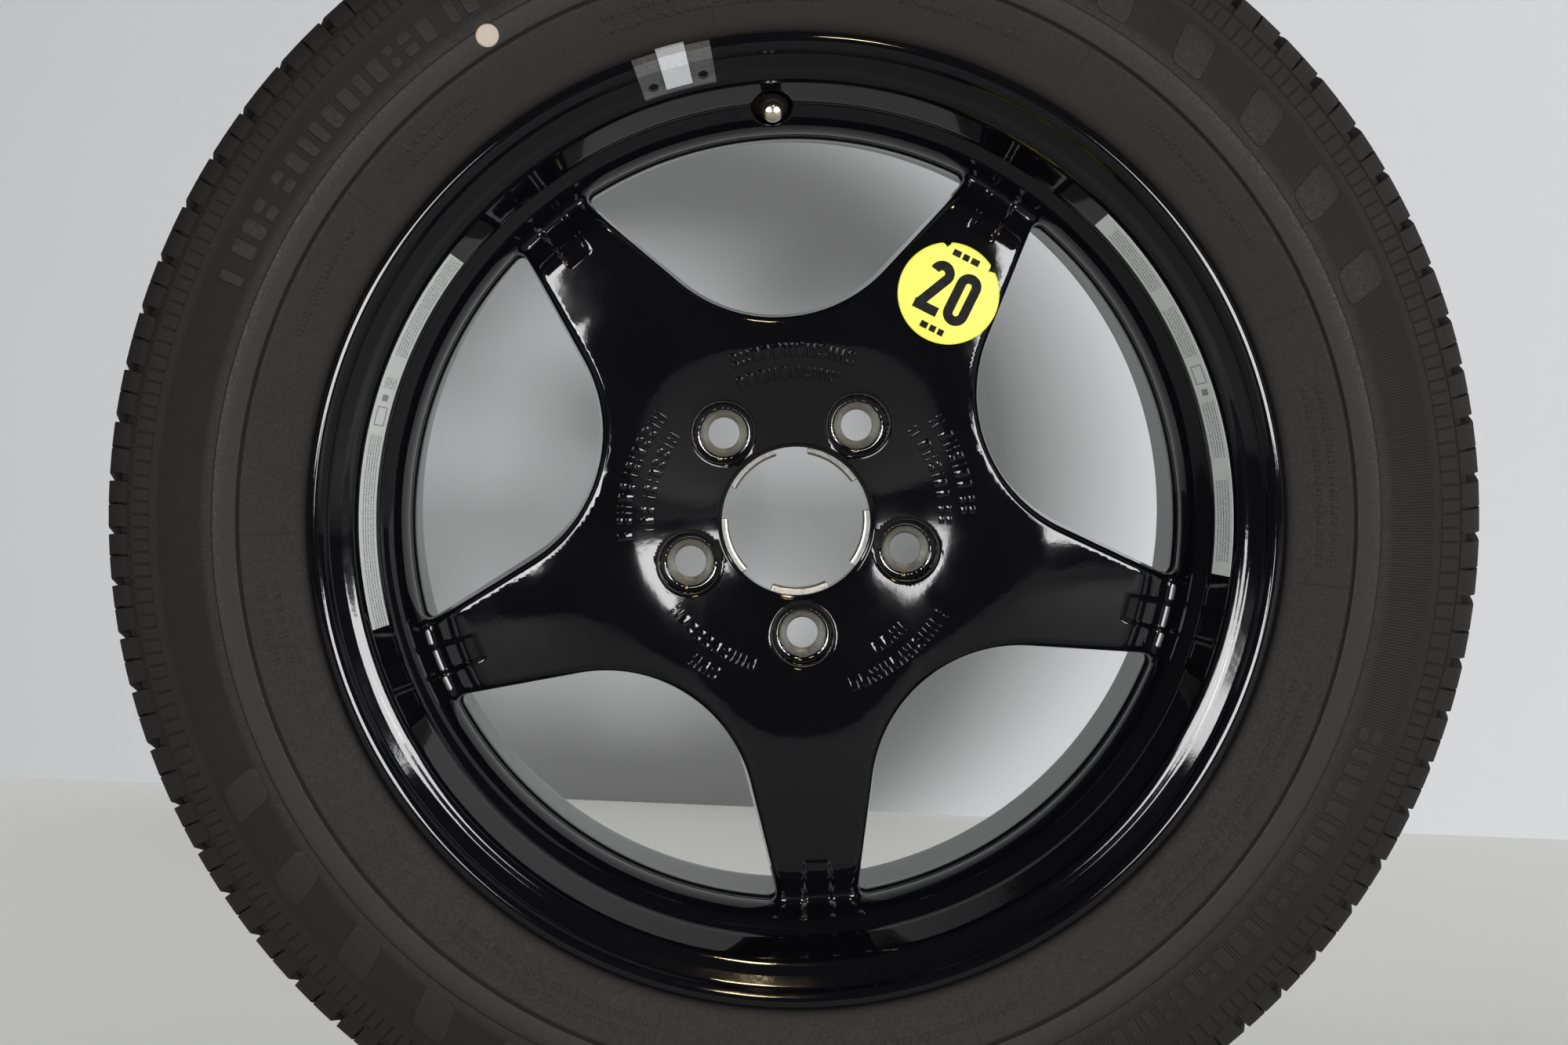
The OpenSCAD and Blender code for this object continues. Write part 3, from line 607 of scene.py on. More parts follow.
def make_rim_barrel():
    """The rim's tyre side, its inboard flange and the inside of the barrel."""
    inboard_side = TYRE_SIDE_HALF[::-1] * (1, -1)
    flange = np.concatenate([[[234.0, -106.85]], arc(FLANGE_R - 4.6, -(END_Z - 3.2), 3.2, -50, -110, 4)])
    q = soften(np.concatenate([TYRE_SIDE_HALF[2:], WELL, inboard_side, flange, BARREL_IN]), 0.5, 5.0)
    q[-1] = (BARREL_IN_R, BARREL_CUT_Z)
    return mesh_piece("rim_barrel", *revolve(q, line_normals(q, left=False), COARSE_THETA))


# Valve pocket
def patch_field(p):
    """The rim with the pocket that the valve sits in, whose floor is 4.5 above the rim's tyre side."""
    along = np.array([0.0, -math.sin(VALVE_LEAN), math.cos(VALVE_LEAN)])
    w = p - np.array([0.0, VALVE_R, VALVE_Z])
    h = w @ along
    from_line = np.linalg.norm(w - h[..., None] * along, axis=-1)
    pocket = meet(from_line - 9.6, 4.5 - h, 2.0)
    return meet(RIM(np.hypot(p[..., 0], p[..., 1]), p[..., 2]), -pocket, 1.3)


def make_valve_patch():
    """The pocket's visible side. The section table ends in walls that aren't the rim's."""
    theta = np.linspace(VALVE_ANGLE - PATCH_HALF, VALVE_ANGLE + PATCH_HALF, 49)
    radii = spaced((189.5, PATCH_OUT_R, 0.8))
    heights = spaced((PATCH_Z, 101, 0.8))
    values = grid_values(patch_field, theta, radii, heights)
    p, quads, normal = surface_net(patch_field, theta, radii, heights, values, closed=False)
    keep = p[quads].mean(1)[:, 2] > PATCH_Z - 0.5
    return mesh_piece("rim_valve_pocket", *part_of(p, quads, normal, keep))


# Machined bolt seats, and the centre bore
def make_bolt_seats():
    """A land, a ball seat and a bolt hole in the bowl of each bolt."""
    angles = [math.degrees(math.asin(r / BALL_R)) for r in (12.3, BOLT_HOLE_R + 0.45)]
    ball = [(BALL_R * math.sin(math.radians(a)), BALL_Z - BALL_R * math.cos(math.radians(a)))
            for a in np.linspace(*angles, 12)]
    ball_end = ball[-1][1]
    land = [(13.6, SEAT_Z - 1.2), (13.55, SEAT_Z + 0.02), (13.35, SEAT_Z + 0.14), (12.55, SEAT_Z + 0.14)]
    hole = [(BOLT_HOLE_R + 0.12, ball_end - 0.3), (BOLT_HOLE_R, ball_end - 0.9), (BOLT_HOLE_R, HUB_Z + 0.8),
            (BOLT_HOLE_R + 0.8, HUB_Z)]
    profile = resample(land + ball + hole, 0.45)
    p, quads, normals = revolve(profile, line_normals(profile), np.arange(72) * 360 / 72)
    parts = []
    for s in range(SPOKES):
        a = math.radians(FIRST_SPOKE + s * SPOKE_STEP)
        centre = np.array([BOLT_R * math.cos(a), BOLT_R * math.sin(a), 0.0])
        parts.append((p + centre, quads, normals))
    return mesh_piece("bolt_seats", *merge(parts))


def make_bore():
    """The relieved wall of the centre bore, between the pads."""
    face_z = float(np.interp(DISC_IN_R, *FACE_CURVE))
    wall = [(DISC_IN_R, face_z), (38.6, face_z - 0.12), (38.0, face_z - 0.8), (RELIEF_R + 0.35, 66.5),
            (RELIEF_R, 65.9), (RELIEF_R, HUB_Z + 1.0), (37.2, HUB_Z + 0.2), (DISC_IN_R, HUB_Z)]
    wall = soften(wall, 0.25, 0.9)
    wall[0], wall[-1] = (DISC_IN_R, face_z), (DISC_IN_R, HUB_Z)
    return mesh_piece("bore_relief", *revolve(wall, line_normals(wall, left=False), COARSE_THETA))


def make_bore_pads():
    """Bare machined pads that centre the wheel: short arcs with rounded ends and a chamfer at each face."""
    section = resample([(RELIEF_R + 0.3, 60.6), (34.6, 60.5), (34.1, 60.35), (33.75, 60.0), (33.35, 59.3),
                        (BORE_R, 58.9), (BORE_R, 53.0), (33.4, 52.5), (34.2, 51.7), (34.6, 51.55),
                        (RELIEF_R + 0.3, 51.5)], 0.5)
    section_normals = line_normals(section, left=False)
    half, end_tilt = 22.5, 0.8
    ends = [(-half - 0.7, RELIEF_R + 0.2), (-half - 0.6, 35.6), (-half - 0.45, 34.4), (-half - 0.2, 33.7)]
    columns = ends + [(a, BORE_R) for a in np.linspace(-half, half, 46)] + [(-a, r) for a, r in ends[::-1]]
    turn, least_r = np.array(columns)[:, :, None].transpose(1, 0, 2)
    tilt = np.sign(turn) * (abs(turn) > half) * end_tilt
    lines = np.stack(np.broadcast_arrays(np.maximum(section[:, 0], least_r), section[:, 1]), -1)
    quads = sheet_quads(*lines.shape[:2])
    parts = []
    for s in range(SPOKES):
        t = np.radians(FIRST_SPOKE + s * SPOKE_STEP + turn)
        p = turned_line(lines, t)
        onward = np.stack([-np.sin(t), np.cos(t), 0 * t], -1) * tilt[..., None]
        n = turned_line(section_normals, t) + np.repeat(onward, len(section), 1).reshape(-1, 3)
        n /= np.linalg.norm(n, axis=1, keepdims=True)
        parts.append((p, facing(p, quads, n[quads].sum(1)), n))
    return mesh_piece("bore_pads", *merge(parts))


# Tyre
PITCHES = (4.3, 5.0, 5.4, 5.0, 4.3, 4.5)
TREAD_DEPTH = 7.5
BLOCKS_FROM_R = 321.4
LADDER_FROM_R = 310.4
RIBS_FROM_R = 279.4
RIB_COUNT, RIB_HEIGHT = 1320, 0.42
CUT_EDGE = 0.012
GROOVES = [(9.0, 17.0), (39.5, 48.5)]
TREAD_TOP = np.array([[TREAD_R, 0], [339.35, 20], [338.55, 42], [337.3, 60], [335.9, 75], [334.2, 84.5]])

SIDEWALL_LOW = smooth_line([(234.0, 98.9), (235.35, 101.4), (236.1, 103.6), (238.4, 105.9), (243.0, 107.9),
                            (251.3, 110.6), (259.0, 112.9), (265.9, 114.5)], 1.6)
BAND_EDGE = [(266.2, 114.35), (266.5, 113.7), (266.9, 113.5), (267.3, 113.9), (267.6, 115.2),
             (268.0, 115.65)]
BAND = smooth_line([(268.6, 115.8), (272.0, 116.3), (BULGE_R, TYRE_HALF_W), (278.3, 116.35)], 1.2)
BAND_STEP = [(278.7, 116.2), (279.0, 115.6), (RIBS_FROM_R, 115.35)]
RIB_LINE = smooth_line([(RIBS_FROM_R, 115.35), (285.25, 114.9), (297.3, 112.3), (305.0, 109.3),
                        (LADDER_FROM_R, 106.7)], 2.6)
LADDER_LINE = smooth_line([(LADDER_FROM_R, 106.7), (315.5, 103.6), (BLOCKS_FROM_R, 99.4)], 1.3)
BLOCK_LINE = smooth_line([(BLOCKS_FROM_R, 99.4), (326.4, 95.2), (330.6, 90.4), (334.2, 84.5)], 1.3)
SIDE_LOW = np.concatenate([SIDEWALL_LOW, BAND_EDGE, BAND])


def pitch_angles():
    """The angles at which the tread's blocks start: a few lengths in a fixed mixed order."""
    order = random.Random(SEED).choices(PITCHES, k=200)
    steps = np.array(order[:int(round(360 / np.mean(order)))])
    return np.concatenate([[0], np.cumsum(steps) * 360 / steps.sum()])


PITCH_AT = pitch_angles()


def strip(line, cuts, depths, lean=0.0):
    """A ring of tread blocks on a section line.

    cuts lists (start, end) shares of a pitch at which the grooves across the strip lie. depths gives each
    groove's depth along the line, and lean the turn of the grooves, in shares of a pitch.
    """
    nor = line_normals(line)
    if (nor[:, 0] * (line[:, 0] - WELL_R)).sum() < 0:
        nor = -nor
    none = np.zeros(len(line))
    edge = CUT_EDGE / 2
    knots = np.ravel([(a - edge, a + edge, b - edge, b + edge) for a, b in cuts])
    depth = np.concatenate([[none, d, d, none] for d in depths])
    start, size = PITCH_AT[:-1], np.diff(PITCH_AT)
    theta = start[:, None, None] + size[:, None, None] * (knots[None, :, None] + (none + lean))
    theta = np.radians(theta.reshape(-1, len(line)))
    depth = np.tile(depth, (len(start), 1))
    p = turned_line(line - depth[..., None] * nor, theta)
    quads = ring_quads(*theta.shape).reshape(-1, 4)
    return p, facing(p, quads, turned_line(nor, theta)[quads].sum(1))


def ribbed(line, count, height):
    """Fine radial ribs on a section line, fading out at both of its ends."""
    nor = line_normals(line)
    if (nor[:, 1] * line[:, 1]).sum() < 0:
        nor = -nor
    rise = np.tile([0.0, 1.0, 0.45], count)[:, None] * height
    t = np.radians(np.arange(len(rise)) * 120 / count)
    share = np.ones(len(line))
    share[0] = share[-1] = 0
    p = turned_line(line + (rise * share)[..., None] * nor, t[:, None])
    return p, facing(p, ring_quads(len(t), len(line)).reshape(-1, 4), (0, 0, 1))


def plain_ring(line, count):
    return revolve(line, line_normals(line, left=False), np.arange(count) * 360 / count)[:2]


def mirrored(parts):
    """The same parts on the wheel's other side."""
    return [(p * MIRROR, q[:, ::-1]) for p, q in parts]


def both_sides(name, parts, angle):
    """The parts as one piece on the front, and as another on the back."""
    return [sharp_piece(name + "_front", parts, angle), sharp_piece(name + "_back", mirrored(parts), angle)]


def make_sidewalls():
    low = plain_ring(np.concatenate([SIDE_LOW, BAND_STEP]), 300)
    return both_sides("sidewall", [low, ribbed(RIB_LINE, RIB_COUNT, RIB_HEIGHT)], 40)


def tread_r(z):
    """The radius of the tread's top at a height."""
    return np.interp(z, TREAD_TOP[:, 1], TREAD_TOP[:, 0])


def tread_top(a, b):
    """The tread's top from one height to another."""
    z = np.linspace(a, b, max(int(abs(b - a) / 6), 2) + 1)
    return smooth_line(np.stack([tread_r(z), z], 1), 3.0)


def groove_wall(z, way):
    """The wall of a groove round the tread, from its floor up to the top at height z. way is its lean."""
    drops = ((TREAD_DEPTH, 0.9), (TREAD_DEPTH - 1.5, 0.6), (0.7, 0.1), (0.12, 0.0))
    return np.array([(tread_r(z) - drop, z + way * out) for drop, out in drops])


def groove_floor(a, b):
    """The floor of the groove between two heights."""
    r = tread_r((a + b) / 2) - TREAD_DEPTH
    return np.array([(r + 0.25, b - 0.5), (r - 0.1, b - 2.2), (r - 0.1, a + 2.2), (r + 0.25, a + 0.5)])


def tread_side():
    """The front half of the tread: ladder of small blocks, shoulder blocks, outer rib and the grooves."""
    (_, in_b), (out_a, out_b) = GROOVES
    ladder = np.concatenate([[(LADDER_FROM_R, 106.7), (310.7, 107.1)], LADDER_LINE[1:-1] + (0.28, 0.36),
                             [(321.1, 99.9), (BLOCKS_FROM_R, 98.7)]])
    s = run_length(ladder)
    depth = 0.75 * smoothstep(0.6, 1.6, s) * (1 - smoothstep(s[-1] - 2.2, s[-1] - 1.2, s))
    rungs = [(0.25 * k - 0.016, 0.25 * k + 0.016) for k in range(4)]
    parts = [strip(ladder, rungs, [depth] * len(rungs))]

    shoulder = np.concatenate([[(BLOCKS_FROM_R, 98.7), (322.1, 99.35)], BLOCK_LINE[1:],
                               tread_top(82.5, out_b + 0.7), groove_wall(out_b, -1)[::-1]])
    s = run_length(shoulder)
    depths = [full * smoothstep(0.8, 6.5, s) * (0.55 + 0.45 * smoothstep(8, 22, s)) for full in (6.2, 4.6)]
    lean = 0.0008 * np.maximum(s - 12, 0) ** 1.55
    parts.append(strip(shoulder, [(0.0, 0.145), (0.55, 0.585)], depths, lean))

    outer_rib = np.concatenate([groove_wall(out_a, 1), tread_top(out_a - 0.6, in_b + 0.6),
                                groove_wall(in_b, -1)[::-1]])
    s = run_length(outer_rib)
    depth = 5.0 * smoothstep(0, 9, s) * (1 - smoothstep(s[-1] - 14, s[-1] - 9, s))
    parts.append(strip(outer_rib, [(0.05, 0.085), (0.55, 0.585)], [depth, depth], 0.012 * s))
    return parts + [plain_ring(groove_floor(a, b), 360) for a, b in GROOVES]


def make_tread():
    inner = GROOVES[0][0]
    wall = groove_wall(inner, 1)
    middle = np.concatenate([wall, tread_top(inner - 0.6, 0.6 - inner), (wall * (1, -1))[::-1]])
    s = run_length(middle)
    depth = 4.0 * (1 - smoothstep(12, 15, s)) * smoothstep(0, 6, s)
    middle_rib = strip(middle, [(0.2, 0.235), (0.7, 0.735)], [depth, depth], 0.02 * s)
    side = tread_side()
    return sharp_piece("tyre_tread", side + mirrored(side) + [middle_rib], 32)


# Raised marks
def bar_knots(half, n):
    """Grid lines across a bar, with close ones at its edges for the bevel, and n spans between them."""
    if n == 1:
        return np.array([-half - 0.2, -half + 0.15, half - 0.15, half + 0.2])
    inner = np.linspace(-(half - 0.45), half - 0.45, n + 1)
    return np.concatenate([[-half - 0.2, -half, -half + 0.2], inner, [half - 0.2, half, half + 0.2]])


def bar_grid(w, h, corner, steps):
    """Grid points of a rounded rectangle, and the share of the bar's height at each."""
    x, y = np.meshgrid(bar_knots(w / 2, steps[0]), bar_knots(h / 2, steps[1]), indexing="ij")
    edge = np.minimum(w / 2 - np.abs(x), h / 2 - np.abs(y))
    lift = np.interp(edge, [-0.2, 0.0, 0.2, 0.45], [-0.35, 0.45, 0.92, 1.0])
    cx, cy = w / 2 - corner, h / 2 - corner
    u, v = np.clip((np.abs(x) - cx) / corner, 0, None), np.clip((np.abs(y) - cy) / corner, 0, None)
    both = (u > 0) & (v > 0)
    m = np.minimum(u, v) / np.maximum(np.maximum(u, v), 1e-9)
    squeeze = np.where(both, 1 / np.sqrt(1 + m * m), 1)
    x = np.where(both, np.sign(x) * (cx + corner * u * squeeze), x)
    y = np.where(both, np.sign(y) * (cy + corner * v * squeeze), y)
    return x, y, lift


def raised_bar(angle, radius, w, h, height, line, corner, steps=(2, 2), lean=0.0):
    """A bar w wide round the wheel and h high along the radius, raised over a section line."""
    x, y, lift = bar_grid(w, h, min(corner, w / 2 - 0.05, h / 2 - 0.05), steps)
    r = radius + y
    t = np.radians(angle) + (x + lean * y) / radius
    z, above, below = (np.interp(at, line[:, 0], line[:, 1]) for at in (r, r + 0.5, r - 0.5))
    slope = above - below
    up = np.sqrt(1 + slope ** 2)
    r = r - slope / up * lift * height
    z = z + lift * height / up
    p = turned_line(np.stack([r, z], -1), t)
    return p, facing(p, sheet_quads(*x.shape), (0, 0, 1))


def bar_row(start, end, radius, h, height, line, widths, gap, split, seed, **more):
    """Bars of mixed widths between two angles, some of them in two halves."""
    rng = random.Random(seed)
    parts, at = [], start
    while True:
        w = rng.choice(widths)
        span = math.degrees(w / radius)
        if at + span > end:
            return parts
        mid = at + span / 2
        places = [(radius, h)]
        if rng.random() < split:
            half_h = h * 0.42
            places = [(radius + side * (h - half_h) / 2, half_h) for side in (-1, 1)]
        parts += [raised_bar(mid, r, w, bar_h, height, line, **more) for r, bar_h in places]
        at += span + math.degrees(gap * (2.6 if rng.random() < 0.12 else 1) / radius)


HUB_TURN = 3.33
HUB_ROWS = [(73.2, 6.6, [(-145, -102), (-59, -42), (-1, 42), (73.6, 114), (144, 186)]),
            (84.4, 7.4, [(-127.6, -116.4), (-72, -30), (2.4, 39.6), (70.4, 114.4), (141, 189.6)])]
MARK_R = 293.6
BIG_MARKS = [(16, 60, 5), (198, 262, 7)]
MIDDLE_MARKS = [(118, 154), (-62, -22)]
SMALL_MARKS = [(62, 76), (84, 108), (124, 136), (143, 156), (183, 192), (226, 250), (262, 292), (-52, -20),
               (-8, 12), (28, 46)]
SEAM_ANGLES = (20, 55, 96, 140, 177.5, 214, 251, 286, 322, 350)


def make_hub_marks():
    line = np.stack(FACE_CURVE, 1)
    parts = []
    for radius, h, spans in HUB_ROWS:
        for k, (a, b) in enumerate(spans):
            parts += bar_row(a - HUB_TURN, b - HUB_TURN, radius, h, 0.85, line, (1.5, 1.5, 3.6, 4.2), 1.5,
                             split=0.45, seed=10 + k, corner=0.7)
    return sharp_piece("hub_marks", parts, 50)


def make_sidewall_marks():
    """Large, middle and small bars, and the fine seams of the mould."""
    parts = []
    for a, b, n in BIG_MARKS:
        pitch = (b - a) / n
        parts += [raised_bar(a + (k + 0.5) * pitch, MARK_R, 18.5, 21, 0.75, RIB_LINE, 4.0, (8, 10), 0.25)
                  for k in range(n)]
    for k, (a, b) in enumerate(MIDDLE_MARKS):
        parts += bar_row(a, b, MARK_R, 12.5, 0.7, RIB_LINE, (5.5, 7.5), 3.2,
                         split=0.3, seed=30 + k, corner=1.4, steps=(4, 6))
    for k, (a, b) in enumerate(SMALL_MARKS):
        for radius in ((251.0, 257.6) if k % 3 else (254.5,)):
            parts += bar_row(a, b, radius, 3.4, 0.32, SIDE_LOW, (0.9, 0.9, 2.2), 1.1,
                             split=0.4, seed=50 + k, corner=0.3, steps=(1, 1))
    parts += [raised_bar(at, 254.0, 0.9, 23.0, 0.3, SIDE_LOW, 0.3, (1, 14)) for at in SEAM_ANGLES]
    return both_sides("sidewall_marks", parts, 50)


def make_paint_dot(angle=119.0, radius=274.5, size=11.0, thick=0.08, rings=6, n=40):
    """A round dot of paint that follows the sidewall."""
    p = []
    for i in range(rings + 2):
        reach = size / 2 * min(i / rings, 1.0)
        for k in range(n):
            a = 2 * math.pi * k / n
            r = radius + reach * math.sin(a)
            t = math.radians(angle) + reach * math.cos(a) / radius
            z = float(np.interp(r, SIDE_LOW[:, 0], SIDE_LOW[:, 1])) + (thick if i <= rings else -0.1)
            p.append((r * math.cos(t), r * math.sin(t), z))
    quads = [(a + n, b + n, b, a) for i in range(rings + 1) for a, b in loop_edges(i * n, n)]
    return mesh_piece("paint_dot", np.array(p), quads)


# Round sticker: film, bold numerals and small bars, each a thin layer
STICKER_AT = (134.3, 53.0)
STICKER_TURN = -30.0
FILM_T, PRINT_Z = 0.2, 0.30
NOTCHES, NOTCH_DEPTH, NOTCH_HALF_ANGLE = (117.0, 55.0), 2.6, 4.6
NUMERAL_W, NUMERAL_H, NUMERAL_STROKE = 12.6, 27, 4.8
STICKER_BARS = [(19.4, [(-7.0, -2.8), (-1.6, 1.7), (2.9, 7.1)]),
                (-19.0, [(-6.0, -2.2), (-1.0, 2.2), (3.4, 6.4)])]
STICKER_BAR_H = 3.2


def sticker_point(x, y, lift):
    """From the sticker's plane to the spoke's face."""
    radius, angle = STICKER_AT
    t, turn = math.radians(angle), math.radians(STICKER_TURN)
    px = radius * math.cos(t) + x * math.cos(turn) - y * math.sin(turn)
    py = radius * math.sin(t) + x * math.sin(turn) + y * math.cos(turn)
    return np.stack([px, py, np.interp(np.hypot(px, py), *FACE_CURVE) + lift], -1)


def make_sticker_film(rings=14, n=144):
    """A thin round film with two small notches in its edge."""
    a = np.arange(n) * 2 * math.pi / n
    off = [np.abs((np.degrees(a) - at + 180) % 360 - 180) for at in NOTCHES]
    edge = STICKER_R - sum(NOTCH_DEPTH * np.clip(1 - d / NOTCH_HALF_ANGLE, 0, 1) for d in off)
    rows = [np.full(n, STICKER_R * k / rings) for k in range(1, rings)] + [edge, edge + 0.03]
    lifts = [FILM_T] * rings + [-0.05]
    p = [sticker_point(r * np.cos(a), r * np.sin(a), lift) for r, lift in zip(rows, lifts)]
    p = np.concatenate([sticker_point(np.zeros(1), np.zeros(1), FILM_T)] + p)
    faces = [(0, a, b) for a, b in loop_edges(1, n)]
    faces += [(a, a + n, b + n, b) for i in range(rings) for a, b in loop_edges(1 + i * n, n)]
    return mesh_piece("sticker_film", p, faces)


def ribbon(path, width, closed=False):
    """A flat band along a path in the sticker's plane."""
    p = np.array(path, float)
    t = np.roll(p, -1, 0) - np.roll(p, 1, 0) if closed else np.gradient(p, axis=0)
    n = np.stack([-t[:, 1], t[:, 0]], 1)
    n /= np.linalg.norm(n, axis=1, keepdims=True)
    m = len(p)
    quads = [(a, b, m + b, m + a) for a, b in loop_edges(0, m)[:None if closed else -1]]
    return np.concatenate([p + n * width / 2, p - n * width / 2]), np.array(quads)


def numeral_two(w, h, stroke):
    half, top = (w - stroke) / 2, (h - stroke) / 2
    head = arc(0, top - half, half, 175, -35, 16)
    tail = resample([head[-1], (-half + 0.4, -top + 1.6), (-half, -top)], 0.8)
    foot = [(-w / 2, -top), (w / 2, -top)]
    return [ribbon(np.concatenate([head, tail[1:]]), stroke), ribbon(foot, stroke)]


def numeral_zero(w, h, stroke):
    half, top = (w - stroke) / 2, (h - stroke) / 2
    path = np.concatenate([arc(0, top - half, half, 0, 180, 16), arc(0, -top + half, half, 180, 360, 16)])
    return [ribbon(path, stroke, closed=True)]


def make_sticker_print():
    shapes = []
    for dx, numeral in ((-7.2, numeral_two), (7.4, numeral_zero)):
        shapes += [(p + (dx, 0), q) for p, q in numeral(NUMERAL_W, NUMERAL_H, NUMERAL_STROKE)]
    for y, spans in STICKER_BARS:
        shapes += [ribbon([(a, y), (b, y)], STICKER_BAR_H) for a, b in spans]
    p, q = merge([(sticker_point(p[:, 0], p[:, 1], PRINT_Z), q) for p, q in shapes])
    turned = face_normals(p, q)[:, 2] < 0
    q[turned] = q[turned][:, ::-1]
    return mesh_piece("sticker_print", p, q)


# Materials
class Mat:
    """A node material with short calls for the nodes used here."""

    def __init__(self, name):
        self.material = bpy.data.materials.new(name)
        self.material.use_nodes = True
        self.tree = self.material.node_tree

    def feed(self, sockets, inputs):
        """Link or set inputs, named by their place or their label. A colour gets an alpha of 1."""
        for key, value in inputs.items():
            socket = sockets[key if isinstance(key, int) else key.replace("_", " ")]
            if isinstance(value, bpy.types.NodeSocket):
                self.tree.links.new(value, socket)
            else:
                socket.default_value = (*value, 1.0) if isinstance(value, tuple) else value

    def node(self, kind, *values, **inputs):
        n = self.tree.nodes.new("ShaderNode" + kind)
        self.feed(n.inputs, {**dict(enumerate(values)), **inputs})
        return n

    def set(self, **inputs):
        """Inputs of the surface itself."""
        self.feed(self.tree.nodes["Principled BSDF"].inputs, inputs)

    def place(self):
        """Object coordinates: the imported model's frame, in metres."""
        return self.node("TexCoord").outputs["Object"]

    def axle(self, place):
        """Distance from the axle in metres, and angle round it in radians, anticlockwise from the right."""
        x, _, z = self.node("SeparateXYZ", place).outputs
        r = self.math("SQRT", self.math("ADD", self.math("MULTIPLY", x, x), self.math("MULTIPLY", z, z)))
        return r, self.math("ARCTAN2", z, x)

    def math(self, operation, a, b=0.0):
        n = self.node("Math", a, b)
        n.operation = operation
        return n.outputs[0]

    def noise(self, place, scale, detail=2.0, rough=0.5):
        n = self.node("TexNoise", Vector=place, Scale=scale, Detail=detail, Roughness=rough)
        return n.outputs["Fac"]

    def span(self, x, a, b, c=0.0, d=1.0):
        """x from a..b to c..d, smoothly, and held at the ends."""
        n = self.node("MapRange", x, a, b, c, d)
        n.interpolation_type = "SMOOTHSTEP"
        return n.outputs[0]

    def mix(self, share, a, b):
        """The colour a, or b where share is 1."""
        n = self.node("Mix")
        n.data_type = "RGBA"
        self.feed(n.inputs, {0: share, 6: a, 7: b})
        return n.outputs[2]

    def bump(self, height, distance, **normal):
        return self.node("Bump", Height=height, Strength=1.0, Distance=distance, **normal).outputs[0]


def use(piece, material):
    piece.data.materials.clear()
    piece.data.materials.append(material)


def shade(color, share):
    return tuple(min(c * share, 1) for c in color)


def finish(name, color, rough, metallic=0.0, scale=300, amount=0.2, bump=0.00003, specular=0.5, edge=0.0):
    """A finish whose tone varies by amount. Its hard edges catch the light as if rounded by edge metres."""
    m = Mat(name)
    grain, spread = (0.65, 1.2) if edge else (0.6, 1.15)
    n = m.noise(m.place(), scale, 4, grain)
    normal = {"Normal": m.node("Bevel", Radius=edge).outputs[0]} if edge else {}
    m.set(Base_Color=m.mix(n, shade(color, 1 - amount), shade(color, 1 + amount)),
          Roughness=m.span(n, 0.3, 0.7, rough * 0.85, min(rough * spread, 1)),
          Metallic=metallic, Specular_IOR_Level=specular, Normal=m.bump(n, bump, **normal))
    return m.material


def paint_material():
    """Deep gloss black with specks of dust and a faint unevenness."""
    m = Mat("gloss_black_paint")
    p = m.place()
    dust = m.span(m.noise(p, 900, 3, 0.65), 0.62, 0.86, 0.0, 0.5)
    height = m.math("ADD", m.noise(p, 70, 2, 0.5), m.math("MULTIPLY", m.noise(p, 520, 2, 0.55), 0.16))
    m.set(Base_Color=m.mix(dust, (0.0025, 0.0025, 0.0032), (0.02, 0.018, 0.016)),
          Roughness=m.span(m.noise(p, 28, 3, 0.6), 0.3, 0.75, 0.04, 0.10),
          IOR=1.38, Normal=m.bump(height, 0.00005))
    return m.material


def tyre_material():
    """Dull rubber with pale scuffs. The smooth band round the sidewall is a little glossier, and carries a
    painted sheen: a cooler tint.
    """
    m = Mat("tyre_rubber")
    p = m.place()
    r, _ = m.axle(p)
    fine = m.noise(p, 600, 3, 0.7)
    band = m.math("MULTIPLY", m.span(r, 0.2672, 0.2682), m.span(r, 0.2786, 0.2792, 1.0, 0.0))
    color = m.mix(m.noise(p, 14, 4, 0.6), (0.0105, 0.0088, 0.0083), (0.0155, 0.0132, 0.0122))
    # Painted sheen: a cooler tint on the smooth band. The band's lower roughness, below, is its real gloss.
    color = m.mix(m.math("MULTIPLY", band, 0.7), color, (0.0125, 0.0117, 0.0117))
    color = m.mix(m.span(m.noise(p, 170, 5, 0.75), 0.66, 0.8, 0.0, 0.25), color, (0.09, 0.08, 0.07))
    rough = m.math("SUBTRACT", m.span(fine, 0.3, 0.7, 0.62, 0.8), m.math("MULTIPLY", band, 0.14))
    m.set(Base_Color=color, Roughness=rough, Specular_IOR_Level=0.14, Normal=m.bump(fine, 0.00006))
    return m.material


LABEL_LOW, LABEL_HIGH = 0.2062, 0.2109
ROW_PITCH = 0.00095
BOX_TURNS = (15.6, 161.0)


def label_patch(m, r, angle, turn, width, low, high):
    """1 inside a patch of the strip, width degrees wide and centred on turn."""
    off = m.math("ABSOLUTE", m.math("SUBTRACT", angle, math.radians(turn)))
    across = m.math("MULTIPLY", m.math("GREATER_THAN", r, low), m.math("LESS_THAN", r, high))
    return m.math("MULTIPLY", m.math("LESS_THAN", off, math.radians(width / 2)), across)


